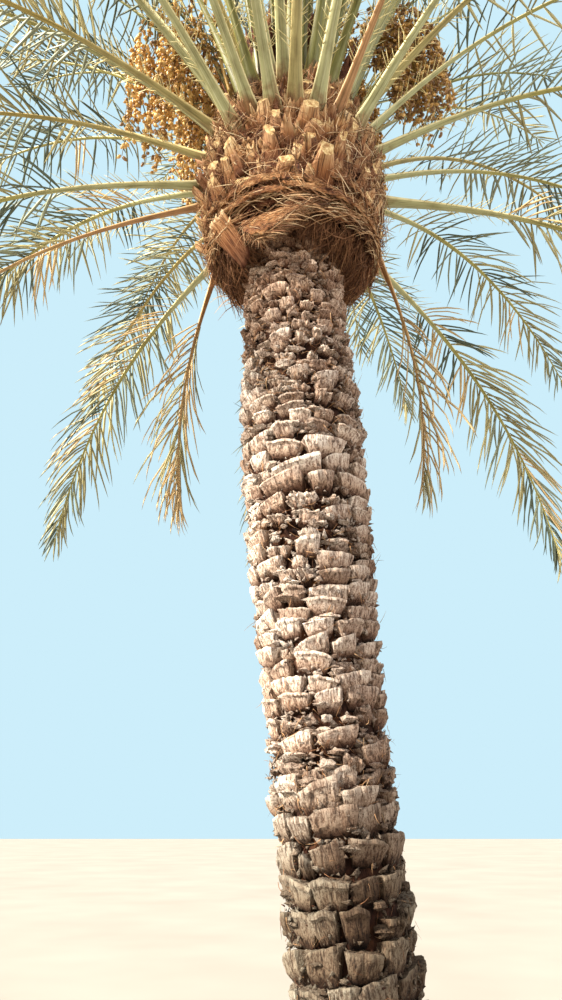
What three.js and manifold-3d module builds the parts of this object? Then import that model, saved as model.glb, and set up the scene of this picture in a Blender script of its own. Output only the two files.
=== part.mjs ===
// A stout date palm with a leaning trunk clad in old leaf bases, a fibrous boot of cut stubs under the crown,
// forty-six feather fronds and five hanging date bunches. Millimetres, +Z up, origin at the foot of the trunk.
import * as THREE from "three";
import Module from "manifold-3d";

const wasm = await Module();
wasm.setup();

// Gap between pieces that meet, and how a stalk's foot is brought that close to the boot.
const JOINT_GAP = 0.3;
const SEAT_STEPS = 14;
const SEAT_SEARCH = 200;

// Trunk: a slow leftward lean that straightens towards the crown, and a swelling at half height.
const TRUNK_TOP = 4600;
const TRUNK_RADIUS = 272;
const SWELL = { rise: 52, centre: 3050, spread: 1000 };
const FOOT_FLARE = { rise: 85, fade: 210 };
const LEAN_AT_FOOT = -0.125;
const LEAN_STRAIGHTENS = 0.0000245;
const LEAN_ENDS = 5100;

// Old leaf bases on the trunk: rows of stubs, each row half a stub round from the last.
const STUB_ROWS = 55;
const STUBS_ROUND = 11;
const STUB_DEPTH = 46;
const STUB_FACE_SHARE = 0.8;
const STUB_TWIST = 0.00021;

// Boot: the swollen mat of fibre and cut stubs that the fronds stand on, an egg cut off below.
const BOOT = { centre: 4810, girth: 545, reach: 930, rim: 4370, rimInner: 436, recess: 350 };
const BOOT_ROWS = 4;
const BOOT_ROWS_TOP = 5010;
const BOOT_STUBS_ROUND = 14;
const BOOT_STUB_DEPTH = 55;
const BOOT_TOP = 5620;
const BOOT_SMOOTH_RINGS = 5;

// Frond midrib: width and thickness at the seat, where the leaflets start, and at the tip.
const RIB_WIDTH = { seat: 112, leafStart: 56, tip: 12 };
const RIB_DEPTH = { seat: 50, leafStart: 32, tip: 9 };
const LEAF_START = 0.25;
const LEAFLET_PITCH = 190;
const LEAFLET_LENGTH = 480;
const LEAFLET_SWEEP = { start: 58, tip: 26 };
const LEAFLET_RAISE = 22;
const BEND_SHARPNESS = 1.35;

// Tiers of fronds from the oldest to the youngest. Angles are in degrees; azimuth 0 is +X and 90 is +Y.
// rise is the angle above level at the seat, droop is how far the tip has turned down from that.
const TIERS = [
  {
    name: "withered",
    seat: 4600,
    rise: -67,
    droop: 30,
    length: 1650,
    sag: 0.9,
    azimuths: [16, 150],
  },
  {
    name: "hanging",
    seat: 4890,
    rise: -4,
    droop: 72,
    length: 3050,
    sag: 0.5,
    split: 0.46,
    azimuths: [172, 189, 4, 46, 92, 132],
  },
  {
    name: "front",
    seat: 5070,
    rise: 42,
    droop: 62,
    length: 3300,
    sag: 0.2,
    azimuths: [228, 243, 257, 271, 285, 299, 316],
  },
  {
    name: "spreading",
    seat: 5190,
    rise: 28,
    droop: 74,
    length: 3300,
    sag: 0.34,
    azimuths: [-5, 21, 44, 70, 90, 122, 148, 180, 206],
  },
  {
    name: "arching",
    seat: 5310,
    rise: 44,
    droop: 66,
    length: 3450,
    sag: 0.22,
    azimuths: [-28, -10, 33, 77, 117, 154, 190, 212, 264],
  },
  {
    name: "rising",
    seat: 5430,
    rise: 60,
    droop: 52,
    length: 3300,
    sag: 0.12,
    azimuths: [-40, 33, 77, 117, 154, 196, 230, 290],
  },
  {
    name: "heart",
    seat: 5540,
    rise: 76,
    droop: 30,
    length: 2900,
    sag: 0.05,
    azimuths: [26, 83, 158, 236, 308],
  },
];
const RISE_JITTER = 4;
const LENGTH_JITTER = 0.06;
const SIDE_SWAY = 7;

// Spear: the youngest, unopened leaf, straight up from the boot's top.
const SPEAR = { height: 2550, radius: 62, sides: 6 };

// Date bunches: a stalk that arches over and a knobbly mass of fruit that hangs from it.
const BUNCH = { seat: 5540, stalkRadius: 20, length: 2350, rise: 77, droop: 163 };
const BUNCH_BEND = { from: 0.32, to: 0.6 };
const BUNCH_MASS = { from: 0.55, to: 0.97, radius: 160, sides: 8, rings: 6, knob: 50 };
const BUNCH_AZIMUTHS = [11, 56, 98, 136, 172];

const radians = (degrees) => (degrees * Math.PI) / 180;
const mix = (a, b, share) => a + (b - a) * share;

// A repeatable number from 0 to 1 for one piece, a different one for each salt.
function chance(index, salt) {
  const wave = Math.sin(index * 12.9898 + salt * 78.233) * 43758.5453;
  return wave - Math.floor(wave);
}

function trunkCentre(height) {
  const z = Math.min(height, LEAN_ENDS);
  return LEAN_AT_FOOT * z + (LEAN_STRAIGHTENS * z * z) / 2;
}

function trunkRadius(height) {
  const swell = Math.exp(-(((height - SWELL.centre) / SWELL.spread) ** 2));
  const flare = Math.exp(-height / FOOT_FLARE.fade);
  return TRUNK_RADIUS + SWELL.rise * swell + FOOT_FLARE.rise * flare;
}

function bootRadius(height) {
  return BOOT.girth * Math.sqrt(1 - ((height - BOOT.centre) / BOOT.reach) ** 2);
}

// A closed skin over rings of points round the leaning axis. Each ring is [height, radius of each column].
function shaftGeometry(rings, columns) {
  const points = [];
  const faces = [];
  const centrePoint = (height) => {
    points.push(trunkCentre(height), 0, height);
    return points.length / 3 - 1;
  };
  for (const [height, radii] of rings) {
    for (let k = 0; k < columns; k++) {
      const angle = (2 * Math.PI * k) / columns + STUB_TWIST * height;
      points.push(
        trunkCentre(height) + radii[k] * Math.cos(angle),
        radii[k] * Math.sin(angle),
        height,
      );
    }
  }
  const at = (ring, k) => ring * columns + (k % columns);
  const last = rings.length - 1;
  for (let ring = 0; ring < last; ring++) {
    for (let k = 0; k < columns; k++) {
      faces.push(at(ring, k), at(ring, k + 1), at(ring + 1, k + 1));
      faces.push(at(ring, k), at(ring + 1, k + 1), at(ring + 1, k));
    }
  }
  const under = centrePoint(rings[0][0]);
  const over = centrePoint(rings[last][0]);
  for (let k = 0; k < columns; k++) {
    faces.push(under, at(0, k + 1), at(0, k));
    faces.push(over, at(last, k), at(last, k + 1));
  }
  return geometryOf(points, faces);
}

function geometryOf(points, faces) {
  const geometry = new THREE.BufferGeometry();
  geometry.setAttribute("position", new THREE.Float32BufferAttribute(points, 3));
  geometry.setIndex(faces);
  geometry.computeVertexNormals();
  return geometry;
}

// The two rings of one row of stubs: its foot, tucked in, and its lip, which stands out at each stub's middle.
function stubRow(foot, pitch, row, columns, depth, outline) {
  const lip = foot + pitch * STUB_FACE_SHARE;
  const tucked = [];
  const lips = [];
  for (let k = 0; k < columns; k++) {
    const middle = (k + row) % 2 === 0;
    const worn = depth * 0.35 * chance(row * columns + k, 1);
    tucked.push(outline(foot) - depth);
    lips.push(outline(lip) - (middle ? worn : depth * 0.55 + worn));
  }
  return [
    [foot, tucked],
    [lip, lips],
  ];
}

const evenRing = (height, radius, columns) => [height, new Array(columns).fill(radius)];

function trunkGeometry() {
  const columns = STUBS_ROUND * 2;
  const pitch = TRUNK_TOP / STUB_ROWS;
  const rings = [evenRing(0, trunkRadius(0), columns)];
  for (let row = 0; row < STUB_ROWS; row++) {
    const pair = stubRow(row * pitch, pitch, row, columns, STUB_DEPTH, trunkRadius);
    rings.push(...(row === 0 ? pair.slice(1) : pair));
  }
  rings.push(evenRing(TRUNK_TOP, trunkRadius(TRUNK_TOP) - STUB_DEPTH, columns));
  return shaftGeometry(rings, columns);
}

function bootGeometry() {
  const columns = BOOT_STUBS_ROUND * 2;
  const rings = [
    evenRing(TRUNK_TOP + JOINT_GAP, BOOT.recess, columns),
    evenRing(BOOT.rim, BOOT.rimInner, columns),
  ];
  const pitch = (BOOT_ROWS_TOP - BOOT.rim) / BOOT_ROWS;
  for (let row = 0; row < BOOT_ROWS; row++) {
    const foot = BOOT.rim + row * pitch;
    const pair = stubRow(foot, pitch, row, columns, BOOT_STUB_DEPTH, bootRadius);
    rings.push(...(row === 0 ? pair.slice(1) : pair));
  }
  for (let i = 0; i <= BOOT_SMOOTH_RINGS; i++) {
    const height = mix(BOOT_ROWS_TOP, BOOT_TOP, i / BOOT_SMOOTH_RINGS);
    rings.push(evenRing(height, bootRadius(height), columns));
  }
  return shaftGeometry(rings, columns);
}

// Where a stalk leaves the boot: the point on its outline, and the outline's outward normal there.
function seatOn(height, azimuth) {
  const outward = new THREE.Vector3(Math.cos(azimuth), Math.sin(azimuth), 0);
  const radius = bootRadius(height);
  const point = outward.clone().multiplyScalar(radius);
  point.x += trunkCentre(height);
  point.z = height;
  const normal = outward.multiplyScalar(radius / BOOT.girth ** 2);
  normal.z = (height - BOOT.centre) / BOOT.reach ** 2;
  return { point, normal: normal.normalize() };
}

// Points along an arching stalk at even steps, each with its heading and the two directions across it.
// bend tells how much of the droop is reached at a share of the length.
function stalkLine({ seat, azimuth, rise, droop, length, sway, bend }, steps) {
  const line = [];
  const point = seatOn(seat, azimuth).point;
  for (let i = 0; i <= steps; i++) {
    const share = i / steps;
    const turn = azimuth + sway * share;
    const pitch = rise - droop * bend(share);
    const heading = new THREE.Vector3(
      Math.cos(turn) * Math.cos(pitch),
      Math.sin(turn) * Math.cos(pitch),
      Math.sin(pitch),
    );
    const side = new THREE.Vector3(-Math.sin(turn), Math.cos(turn), 0);
    const up = heading.clone().cross(side);
    line.push({ share, point: point.clone(), heading, side, up });
    point.addScaledVector(heading, length / steps);
  }
  return line;
}

// Slides a stalk's foot back along its heading until it stands just clear of the boot.
function trimToSeat(foot, next, heading, { point, normal }) {
  for (const p of foot) {
    const short = JOINT_GAP - p.clone().sub(point).dot(normal);
    p.addScaledVector(heading, short / heading.dot(normal));
  }
  for (let i = 0; i < SEAT_STEPS; i++) {
    const gap = prismOf(foot, next).minGap(boot.solid, SEAT_SEARCH);
    for (const p of foot) p.addScaledVector(heading, JOINT_GAP - gap);
  }
}

// The solid between two rings of the same number of points.
function prismOf(from, to) {
  const sides = from.length;
  const points = [...from, ...to].flatMap((p) => [p.x, p.y, p.z]);
  const faces = [];
  for (let k = 0; k < sides; k++) {
    const next = (k + 1) % sides;
    faces.push(k, next, sides + next, k, sides + next, sides + k);
    if (k > 0 && next > 0) faces.push(0, next, k, sides, sides + k, sides + next);
  }
  return solidOf(geometryOf(points, faces));
}

function profileAt(share, sizes) {
  if (share < LEAF_START) return mix(sizes.seat, sizes.leafStart, share / LEAF_START);
  return mix(sizes.leafStart, sizes.tip, (share - LEAF_START) / (1 - LEAF_START));
}

// Where a frond's midrib has a section: three on the bare stalk, then one between each two leaflets.
function stationShares(frond) {
  const leafy = frond.length * (1 - LEAF_START);
  const pairs = Math.round(leafy / LEAFLET_PITCH);
  const shares = [0, LEAF_START * 0.3, LEAF_START * 0.65];
  for (let i = 0; i <= pairs; i++) shares.push(mix(LEAF_START, 0.97, i / pairs));
  shares.push(1);
  return shares;
}

// The midrib as sections of four corners: left top, right top, right bottom, left bottom.
function ribSections(frond) {
  const fine = 200;
  const line = stalkLine(frond, fine);
  const sections = stationShares(frond).map((share) => {
    const here = line[Math.round(share * fine)];
    const across = here.side.clone().multiplyScalar(profileAt(share, RIB_WIDTH) / 2);
    const over = here.up.clone().multiplyScalar(profileAt(share, RIB_DEPTH) / 2);
    const corner = (a, b) =>
      here.point.clone().addScaledVector(across, a).addScaledVector(over, b);
    return { ...here, share, corners: [corner(1, 1), corner(-1, 1), corner(-1, -1), corner(1, -1)] };
  });
  const seat = seatOn(frond.seat, frond.azimuth);
  trimToSeat(sections[0].corners, sections[1].corners, sections[0].heading, seat);
  return sections;
}

// The tip of the leaflet that grows from one side of the midrib between two sections.
function leafletTip(frond, a, b, sideSign) {
  const along = (a.share - LEAF_START) / (1 - LEAF_START);
  const size = Math.sin(Math.PI * mix(0.2, 0.88, along));
  const length = LEAFLET_LENGTH * size * mix(0.92, 1.08, chance(frond.index * 40 + a.share * 31, 5));
  const sweep = radians(mix(LEAFLET_SWEEP.start, LEAFLET_SWEEP.tip, along));
  const raise = radians(LEAFLET_RAISE);
  const direction = a.heading
    .clone()
    .multiplyScalar(Math.cos(sweep))
    .addScaledVector(a.side, sideSign * Math.sin(sweep) * Math.cos(raise))
    .addScaledVector(a.up, Math.sin(sweep) * Math.sin(raise));
  direction.z -= frond.sag;
  const root = a.point.clone().add(b.point).multiplyScalar(0.5);
  return root.addScaledVector(direction.normalize(), length);
}

// A closed midrib over some of its sections, with a pyramid for each leaflet that has a tip.
function frondGeometry(sections, tips, pointed) {
  const points = [];
  const faces = [];
  const add = (p) => points.push(p.x, p.y, p.z) / 3 - 1;
  const last = sections.length - 1;
  const ringCount = pointed ? last : last + 1;
  for (let i = 0; i < ringCount; i++) sections[i].corners.forEach(add);
  const quad = (a, b, c, d) => faces.push(a, b, c, a, c, d);
  const pyramid = (a, b, c, d, tip) => {
    const apex = add(tip);
    faces.push(a, b, apex, b, c, apex, c, d, apex, d, a, apex);
  };
  for (let i = 0; i < ringCount - 1; i++) {
    const [lt, rt, rb, lb] = [0, 1, 2, 3].map((c) => i * 4 + c);
    const [LT, RT, RB, LB] = [4, 5, 6, 7].map((c) => i * 4 + c);
    quad(rt, RT, LT, lt);
    quad(lb, LB, RB, rb);
    const [left, right] = tips[i] ?? [];
    if (left) pyramid(lb, lt, LT, LB, left);
    else quad(lb, lt, LT, LB);
    if (right) pyramid(rb, RB, RT, rt, right);
    else quad(rb, RB, RT, rt);
  }
  quad(3, 2, 1, 0);
  const [lt, rt, rb, lb] = [0, 1, 2, 3].map((c) => (ringCount - 1) * 4 + c);
  if (pointed) {
    const apex = add(sections[last].point);
    faces.push(rt, apex, lt, lb, apex, rb, lb, lt, apex, rb, apex, rt);
  } else {
    quad(lt, rt, rb, lb);
  }
  return geometryOf(points, faces);
}

// A hanging bunch: rings along its stalk, then wider rings whose every face is raised to a knob of fruit.
function bunchGeometry(bunch) {
  const { sides, rings, radius, knob } = BUNCH_MASS;
  const fine = 100;
  const line = stalkLine(bunch, fine);
  const stalkShares = [0, 0.34, 0.4, 0.46, 0.51];
  const places = stalkShares.map((share) => ({ share, radius: BUNCH.stalkRadius }));
  for (let i = 0; i < rings; i++) {
    const share = mix(BUNCH_MASS.from, BUNCH_MASS.to, i / (rings - 1));
    const bulge = Math.sin(Math.PI * mix(0.14, 0.9, i / (rings - 1))) ** 0.7;
    places.push({ share, radius: radius * bulge });
  }
  const loops = places.map(({ share, radius: size }) => {
    const here = line[Math.round(share * fine)];
    const loop = [];
    for (let k = 0; k < sides; k++) {
      const angle = (2 * Math.PI * k) / sides;
      const p = here.point.clone().addScaledVector(here.side, size * Math.cos(angle));
      loop.push(p.addScaledVector(here.up, size * Math.sin(angle)));
    }
    return { loop, centre: here.point, heading: here.heading };
  });
  const seat = seatOn(bunch.seat, bunch.azimuth);
  trimToSeat(loops[0].loop, loops[1].loop, loops[0].heading, seat);
  const points = [];
  const faces = [];
  const add = (p) => points.push(p.x, p.y, p.z) / 3 - 1;
  loops.forEach(({ loop }) => loop.forEach(add));
  const at = (ring, k) => ring * sides + (k % sides);
  for (let ring = 0; ring < loops.length - 1; ring++) {
    const fruit = ring >= stalkShares.length;
    const middle = loops[ring].centre.clone().add(loops[ring + 1].centre).multiplyScalar(0.5);
    for (let k = 0; k < sides; k++) {
      const [a, b, c, d] = [at(ring, k), at(ring, k + 1), at(ring + 1, k + 1), at(ring + 1, k)];
      if (!fruit) {
        faces.push(a, b, c, a, c, d);
        continue;
      }
      const face = new THREE.Vector3();
      for (const v of [a, b, c, d]) {
        face.add(new THREE.Vector3(points[v * 3], points[v * 3 + 1], points[v * 3 + 2]));
      }
      face.multiplyScalar(0.25);
      const outward = face.clone().sub(middle).normalize();
      const height = knob * mix(0.6, 1.2, chance(bunch.index * 97 + ring * sides + k, 9));
      const apex = add(face.addScaledVector(outward, height));
      faces.push(a, b, apex, b, c, apex, c, d, apex, d, a, apex);
    }
  }
  const foot = add(loops[0].loop.reduce((s, p) => s.add(p), new THREE.Vector3()).divideScalar(sides));
  const tip = add(line[fine].point);
  for (let k = 0; k < sides; k++) {
    faces.push(foot, at(0, k + 1), at(0, k));
    faces.push(tip, at(loops.length - 1, k), at(loops.length - 1, k + 1));
  }
  return geometryOf(points, faces);
}

function spearGeometry() {
  const { height, radius, sides } = SPEAR;
  const foot = BOOT_TOP + JOINT_GAP;
  const rings = [
    evenRing(foot, radius, sides),
    evenRing(foot + height * 0.45, radius * 0.8, sides),
    evenRing(foot + height, radius * 0.12, sides),
  ];
  return shaftGeometry(rings, sides);
}

// The same geometry as a solid, for finding what touches what.
function solidOf(geometry) {
  return new wasm.Manifold(
    new wasm.Mesh({
      numProp: 3,
      vertProperties: geometry.getAttribute("position").array,
      triVerts: new Uint32Array(geometry.index.array),
    }),
  );
}

function boxed(geometry) {
  geometry.computeBoundingBox();
  return { geometry, box: geometry.boundingBox, solid: solidOf(geometry) };
}

const touches = (piece, others) =>
  others.some((o) => o.box.intersectsBox(piece.box) && !o.solid.intersect(piece.solid).isEmpty());

// One leaflet alone, as the pyramid that the midrib would carry.
function leafletPiece(a, b, sideSign, tip) {
  const [lt, rt, rb, lb] = a.corners;
  const [LT, RT, RB, LB] = b.corners;
  const base = sideSign > 0 ? [lb, lt, LT, LB] : [rb, RB, RT, rt];
  const points = [...base, tip].flatMap((p) => [p.x, p.y, p.z]);
  return boxed(geometryOf(points, [0, 1, 4, 1, 2, 4, 2, 3, 4, 3, 0, 4, 0, 3, 2, 0, 2, 1]));
}

function plannedFronds() {
  const fronds = [];
  for (const tier of TIERS) {
    tier.azimuths.forEach((azimuth, place) => {
      const index = fronds.length;
      const jitter = (salt, size) => size * (2 * chance(index, salt) - 1);
      fronds.push({
        index,
        name: `frond_${tier.name}_${place + 1}`,
        seat: tier.seat,
        azimuth: radians(azimuth),
        rise: radians(tier.rise + jitter(2, RISE_JITTER)),
        droop: radians(tier.droop),
        length: tier.length * (1 + jitter(3, LENGTH_JITTER)),
        sway: radians(jitter(4, SIDE_SWAY)),
        bend: (share) => share ** BEND_SHARPNESS,
        sag: tier.sag,
        split: tier.split,
      });
    });
  }
  return fronds;
}

function plannedBunches() {
  return BUNCH_AZIMUTHS.map((azimuth, index) => ({
    index,
    name: `date_bunch_${index + 1}`,
    seat: BUNCH.seat,
    azimuth: radians(azimuth),
    rise: radians(BUNCH.rise),
    droop: radians(BUNCH.droop),
    length: BUNCH.length,
    sway: 0,
    bend: (share) => THREE.MathUtils.smoothstep(share, BUNCH_BEND.from, BUNCH_BEND.to),
  }));
}

const material = (color, roughness) =>
  new THREE.MeshStandardMaterial({ color, roughness, metalness: 0, flatShading: true });
const barkFinish = material(0xa08a70, 0.95);
const fibreFinish = material(0x8a5a36, 1);
const frondFinish = material(0x8b9455, 0.6);
const fruitFinish = material(0xb5722a, 0.5);

const palm = new THREE.Group();

function addPiece(name, geometry, finish) {
  const mesh = new THREE.Mesh(geometry, finish);
  mesh.name = name;
  palm.add(mesh);
  return mesh;
}

const boot = boxed(bootGeometry());
const trunk = boxed(trunkGeometry());
const spear = boxed(spearGeometry());
addPiece("trunk", trunk.geometry, barkFinish);
addPiece("crown_boot", boot.geometry, fibreFinish);
addPiece("spear_leaf", spear.geometry, frondFinish);
const standing = [trunk, boot, spear];
for (const bunch of plannedBunches()) {
  const piece = boxed(bunchGeometry(bunch));
  addPiece(bunch.name, piece.geometry, fruitFinish);
  standing.push(piece);
}

const fronds = plannedFronds();
for (const frond of fronds) {
  frond.sections = ribSections(frond);
  frond.rib = boxed(frondGeometry(frond.sections, [], true));
}

// Leaflets are added one by one, and one that would touch another frond, a bunch or the trunk is left out.
const leaflets = [];
for (const frond of fronds) {
  const ribs = fronds.filter((other) => other !== frond).map((other) => other.rib);
  const others = [...standing, ...ribs, ...leaflets];
  frond.tips = frond.sections.slice(0, -2).map((a, i) => {
    if (a.share < LEAF_START) return [];
    const b = frond.sections[i + 1];
    return [1, -1].map((sideSign) => {
      const tip = leafletTip(frond, a, b, sideSign);
      const piece = leafletPiece(a, b, sideSign, tip);
      if (touches(piece, others)) return null;
      leaflets.push(piece);
      return tip;
    });
  });
}

// A frond that hangs round a wide space is two pieces, parted at its bend.
for (const { name, sections, tips, split } of fronds) {
  if (!split) {
    addPiece(name, frondGeometry(sections, tips, true), frondFinish);
    continue;
  }
  const cut = sections.findIndex((s) => s.share >= split);
  const inner = sections.slice(0, cut + 1);
  const outer = sections.slice(cut).map((s) => ({ ...s, corners: s.corners.map((p) => p.clone()) }));
  for (const p of outer[0].corners) p.addScaledVector(outer[0].heading, JOINT_GAP);
  addPiece(`${name}_inner`, frondGeometry(inner, tips.slice(0, cut), false), frondFinish);
  addPiece(`${name}_outer`, frondGeometry(outer, tips.slice(cut), true), frondFinish);
}

export default palm;
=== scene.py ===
import math
import random

import bpy
import numpy as np
from mathutils import Matrix, Vector


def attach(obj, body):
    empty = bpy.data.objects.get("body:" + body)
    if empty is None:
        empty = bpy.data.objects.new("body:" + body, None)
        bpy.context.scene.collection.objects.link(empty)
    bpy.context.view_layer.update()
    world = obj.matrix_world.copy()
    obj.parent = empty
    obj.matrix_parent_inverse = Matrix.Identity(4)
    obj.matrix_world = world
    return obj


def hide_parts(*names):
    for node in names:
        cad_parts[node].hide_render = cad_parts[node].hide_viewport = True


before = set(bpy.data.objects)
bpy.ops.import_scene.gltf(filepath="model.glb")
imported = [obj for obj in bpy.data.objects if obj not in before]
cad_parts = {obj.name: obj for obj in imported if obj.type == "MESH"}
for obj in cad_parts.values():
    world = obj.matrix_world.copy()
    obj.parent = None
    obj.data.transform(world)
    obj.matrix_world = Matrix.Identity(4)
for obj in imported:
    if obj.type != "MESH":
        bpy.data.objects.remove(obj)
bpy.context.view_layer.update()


# Trunk core: the palm's one stem, a leaning shaft of matted brown fibre. It shows only in the gaps
# between the cut leaf bases that are rooted in it, and it stands on a flat cut at the ground.
TRUNK_LEAN, TRUNK_CURVE, CURVE_END = -0.125, 0.0245, 5.1  # slope at the foot, how it eases, up to where
STEM_RADIUS = 0.272
SWELL, SWELL_AT = 0.052, 3.05
FLARE, FLARE_HIGH = 0.085, 0.21


def trunk_centre(height):
    z = min(height, CURVE_END)
    return TRUNK_LEAN * z + TRUNK_CURVE * z * z / 2


def trunk_radius(height):
    """Out to the lips of the leaf bases, with a swelling above half height and a flare at the foot."""
    swell = math.exp(-((height - SWELL_AT) ** 2))
    return STEM_RADIUS + SWELL * swell + FLARE * math.exp(-height / FLARE_HIGH)


def linear(hex_colour):
    """An sRGB colour such as "a0b0c0" as the linear values that a shader takes."""
    parts = [int(hex_colour[i : i + 2], 16) / 255 for i in (0, 2, 4)]
    return [p / 12.92 if p <= 0.04045 else ((p + 0.055) / 1.055) ** 2.4 for p in parts] + [1]


def node(tree, kind, inputs=None, **settings):
    """Adds a node. Each input is a value, or what it is linked to: an output, or a node's first one."""
    prefix = "" if kind.startswith(("Geometry", "NodeGroup")) else "ShaderNode"
    made = tree.nodes.new(prefix + kind)
    for place, (position, colour) in enumerate(settings.pop("stops", [])):
        elements = made.color_ramp.elements
        element = elements[place] if place < 2 else elements.new(position)
        element.position, element.color = position, linear(colour)
    for name, value in settings.items():
        setattr(made, name, value)
    for key, value in (inputs or {}).items():
        if isinstance(value, bpy.types.Node):
            value = value.outputs[0]
        if isinstance(value, bpy.types.NodeSocket):
            tree.links.new(value, made.inputs[key])
        else:
            made.inputs[key].default_value = value
    return made


def tinted(tree, colour, *layers):
    """Multiplies tints into a colour: each a strength with one colour, or with a driver and stops."""
    for strength, *tint in layers:
        over = node(tree, "ValToRGB", {"Fac": tint[0]}, stops=tint[1]) if tint[1:] else linear(tint[0])
        mixed = node(tree, "Mix", {0: strength, 6: colour, 7: over}, data_type="RGBA", blend_type="MULTIPLY")
        colour = mixed.outputs[2]
    return colour


def new_material(name):
    """An empty material, the tree of its nodes, and the Object coordinates in it."""
    material = bpy.data.materials.new(name)
    material.use_nodes = True
    tree = material.node_tree
    tree.nodes.clear()
    return material, tree, node(tree, "TexCoord").outputs["Object"]


def finish_material(tree, colour, *reliefs, rough, shine=0.5):
    """Adds the shader, its bumps given as (height, strength, distance), coarse to fine."""
    normal = {}
    for height, strength, distance in reliefs:
        bump = {"Height": height, "Strength": strength, "Distance": distance}
        normal = {"Normal": node(tree, "Bump", {**bump, **normal})}
    skin = {"Base Color": colour, "Roughness": rough, "Specular IOR Level": shine}
    node(tree, "OutputMaterial", {"Surface": node(tree, "BsdfPrincipled", {**skin, **normal})})


def new_tree(name, **kinds):
    """A Geometry Nodes tree with a geometry and these named inputs going in, and what comes from them."""
    tree = bpy.data.node_groups.new(name, "GeometryNodeTree")
    for label, kind in {"Geometry": "Geometry", **kinds}.items():
        tree.interface.new_socket(label, in_out="INPUT", socket_type="NodeSocket" + kind)
    tree.interface.new_socket("Geometry", in_out="OUTPUT", socket_type="NodeSocketGeometry")
    return tree, node(tree, "NodeGroupInput").outputs


def finish_tree(tree, geometry, material):
    """Makes the tree's instances real and gives all of it the material."""
    real = node(tree, "GeometryNodeRealizeInstances", {0: geometry})
    coated = node(tree, "GeometryNodeSetMaterial", {"Geometry": real, "Material": material})
    node(tree, "NodeGroupOutput", {0: coated})


def use_tree(holder, tree, **values):
    """Puts the tree on an object as a modifier, with its inputs set by their identifiers."""
    modifier = holder.modifiers.new(tree.name, "NODES")
    modifier.node_group = tree
    for item in tree.interface.items_tree:
        if item.in_out == "INPUT" and item.name in values:
            modifier[item.identifier] = values[item.name]


def mesh_of(name, points, faces):
    mesh = bpy.data.meshes.new(name)
    mesh.from_pydata([tuple(p) for p in points], [], faces)
    return mesh


def in_scene(data):
    """A mesh, a lamp or a camera as an object of the scene, under the same name."""
    made = bpy.data.objects.new(data.name, data)
    bpy.context.scene.collection.objects.link(made)
    return made


def plain_mesh(holder):
    """The object's evaluated shape as a mesh. The object itself goes, with its modifiers and first mesh."""
    bpy.context.view_layer.update()
    evaluated = holder.evaluated_get(bpy.context.evaluated_depsgraph_get())
    mesh = bpy.data.meshes.new_from_object(evaluated)
    name = holder.name
    bpy.data.meshes.remove(holder.data)
    mesh.name = name
    return mesh


def add_piece(mesh, slot, *nodes):
    """A finished piece of the tree, named as its mesh, that stands for these nodes of the frame."""
    piece = in_scene(mesh)
    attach(piece, "root")
    if nodes:
        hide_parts(*nodes)


def circle(count):
    """Even angles once round."""
    return [math.tau * k / count for k in range(count)]


def ring_faces(rings, columns):
    """A closed skin over rings of points, the next ring further along the outward-turning axis."""
    faces = []
    for r in range(rings - 1):
        for k in range(columns):
            n = (k + 1) % columns
            faces.append((r * columns + k, r * columns + n, (r + 1) * columns + n, (r + 1) * columns + k))
    faces.append(tuple(reversed(range(columns))))
    faces.append(tuple((rings - 1) * columns + k for k in range(columns)))
    return faces


def moved_on(faces, base, inside_out=False):
    """Faces of one part of a mesh, numbered on from the part's first point."""
    return [tuple(base + v for v in (reversed(f) if inside_out else f)) for f in faces]


def on_ground(mesh):
    """Nothing of the mesh reaches below the flat cut."""
    places = np.empty(len(mesh.vertices) * 3)
    mesh.vertices.foreach_get("co", places)
    places[2::3] = np.maximum(places[2::3], 0)
    mesh.vertices.foreach_set("co", places)


# Roughens a surface: finer faces, each point pushed along its normal by noise of a real size.
relief, given = new_tree(
    "Relief",
    Levels="Int",
    Depth="Float",
    Grain="Float",
    Upright="Float",
    Seed="Float",
    Crease="Float",
    Material="Material",
)
finer = node(relief, "GeometryNodeSubdivideMesh", {0: given["Geometry"], "Level": given["Levels"]})
place = node(relief, "GeometryNodeInputPosition")
squeeze = node(relief, "CombineXYZ", {0: 1.0, 1: 1.0, 2: given["Upright"]})
drawn = node(relief, "VectorMath", {0: place, 1: squeeze}, operation="MULTIPLY")
scale = node(relief, "Math", {0: 1.0, 1: given["Grain"]}, operation="DIVIDE")
grains = {"Vector": drawn, "W": given["Seed"], "Scale": scale, "Detail": 3.0, "Roughness": 0.62}
rough = node(relief, "TexNoise", grains, noise_dimensions="4D")
centred = node(relief, "Math", {0: rough, 1: 0.5}, operation="SUBTRACT")
depth = node(relief, "Math", {0: centred, 1: given["Depth"]}, operation="MULTIPLY")
outward = node(relief, "GeometryNodeInputNormal")
push = node(relief, "VectorMath", {0: outward, "Scale": depth}, operation="SCALE")
moved = node(relief, "GeometryNodeSetPosition", {"Geometry": finer, "Offset": push})
smooth = node(relief, "GeometryNodeSetShadeSmooth", {"Geometry": moved})
bent = node(relief, "GeometryNodeInputMeshEdgeAngle")
sharp = node(relief, "Math", {0: bent, 1: given["Crease"]}, operation="GREATER_THAN")
edges = {"Geometry": smooth, "Selection": sharp, "Shade Smooth": False}
creased = node(relief, "GeometryNodeSetShadeSmooth", edges, domain="EDGE")
finish_tree(relief, creased, given["Material"])


def roughen(holder, material, depth, grain, upright, seed, crease, levels=1):
    """Relief of a depth and grain in metres, drawn out upright below 1, its edges sharp over an angle."""
    sizes = {"Levels": levels, "Depth": depth, "Grain": grain, "Upright": upright, "Seed": seed}
    use_tree(holder, relief, Crease=crease, Material=material, **sizes)


def rough_mesh(name, points, faces, material, **sizes):
    """A mesh of these faces with relief."""
    holder = in_scene(mesh_of(name, points, faces))
    roughen(holder, material, **sizes)
    return plain_mesh(holder)


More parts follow.
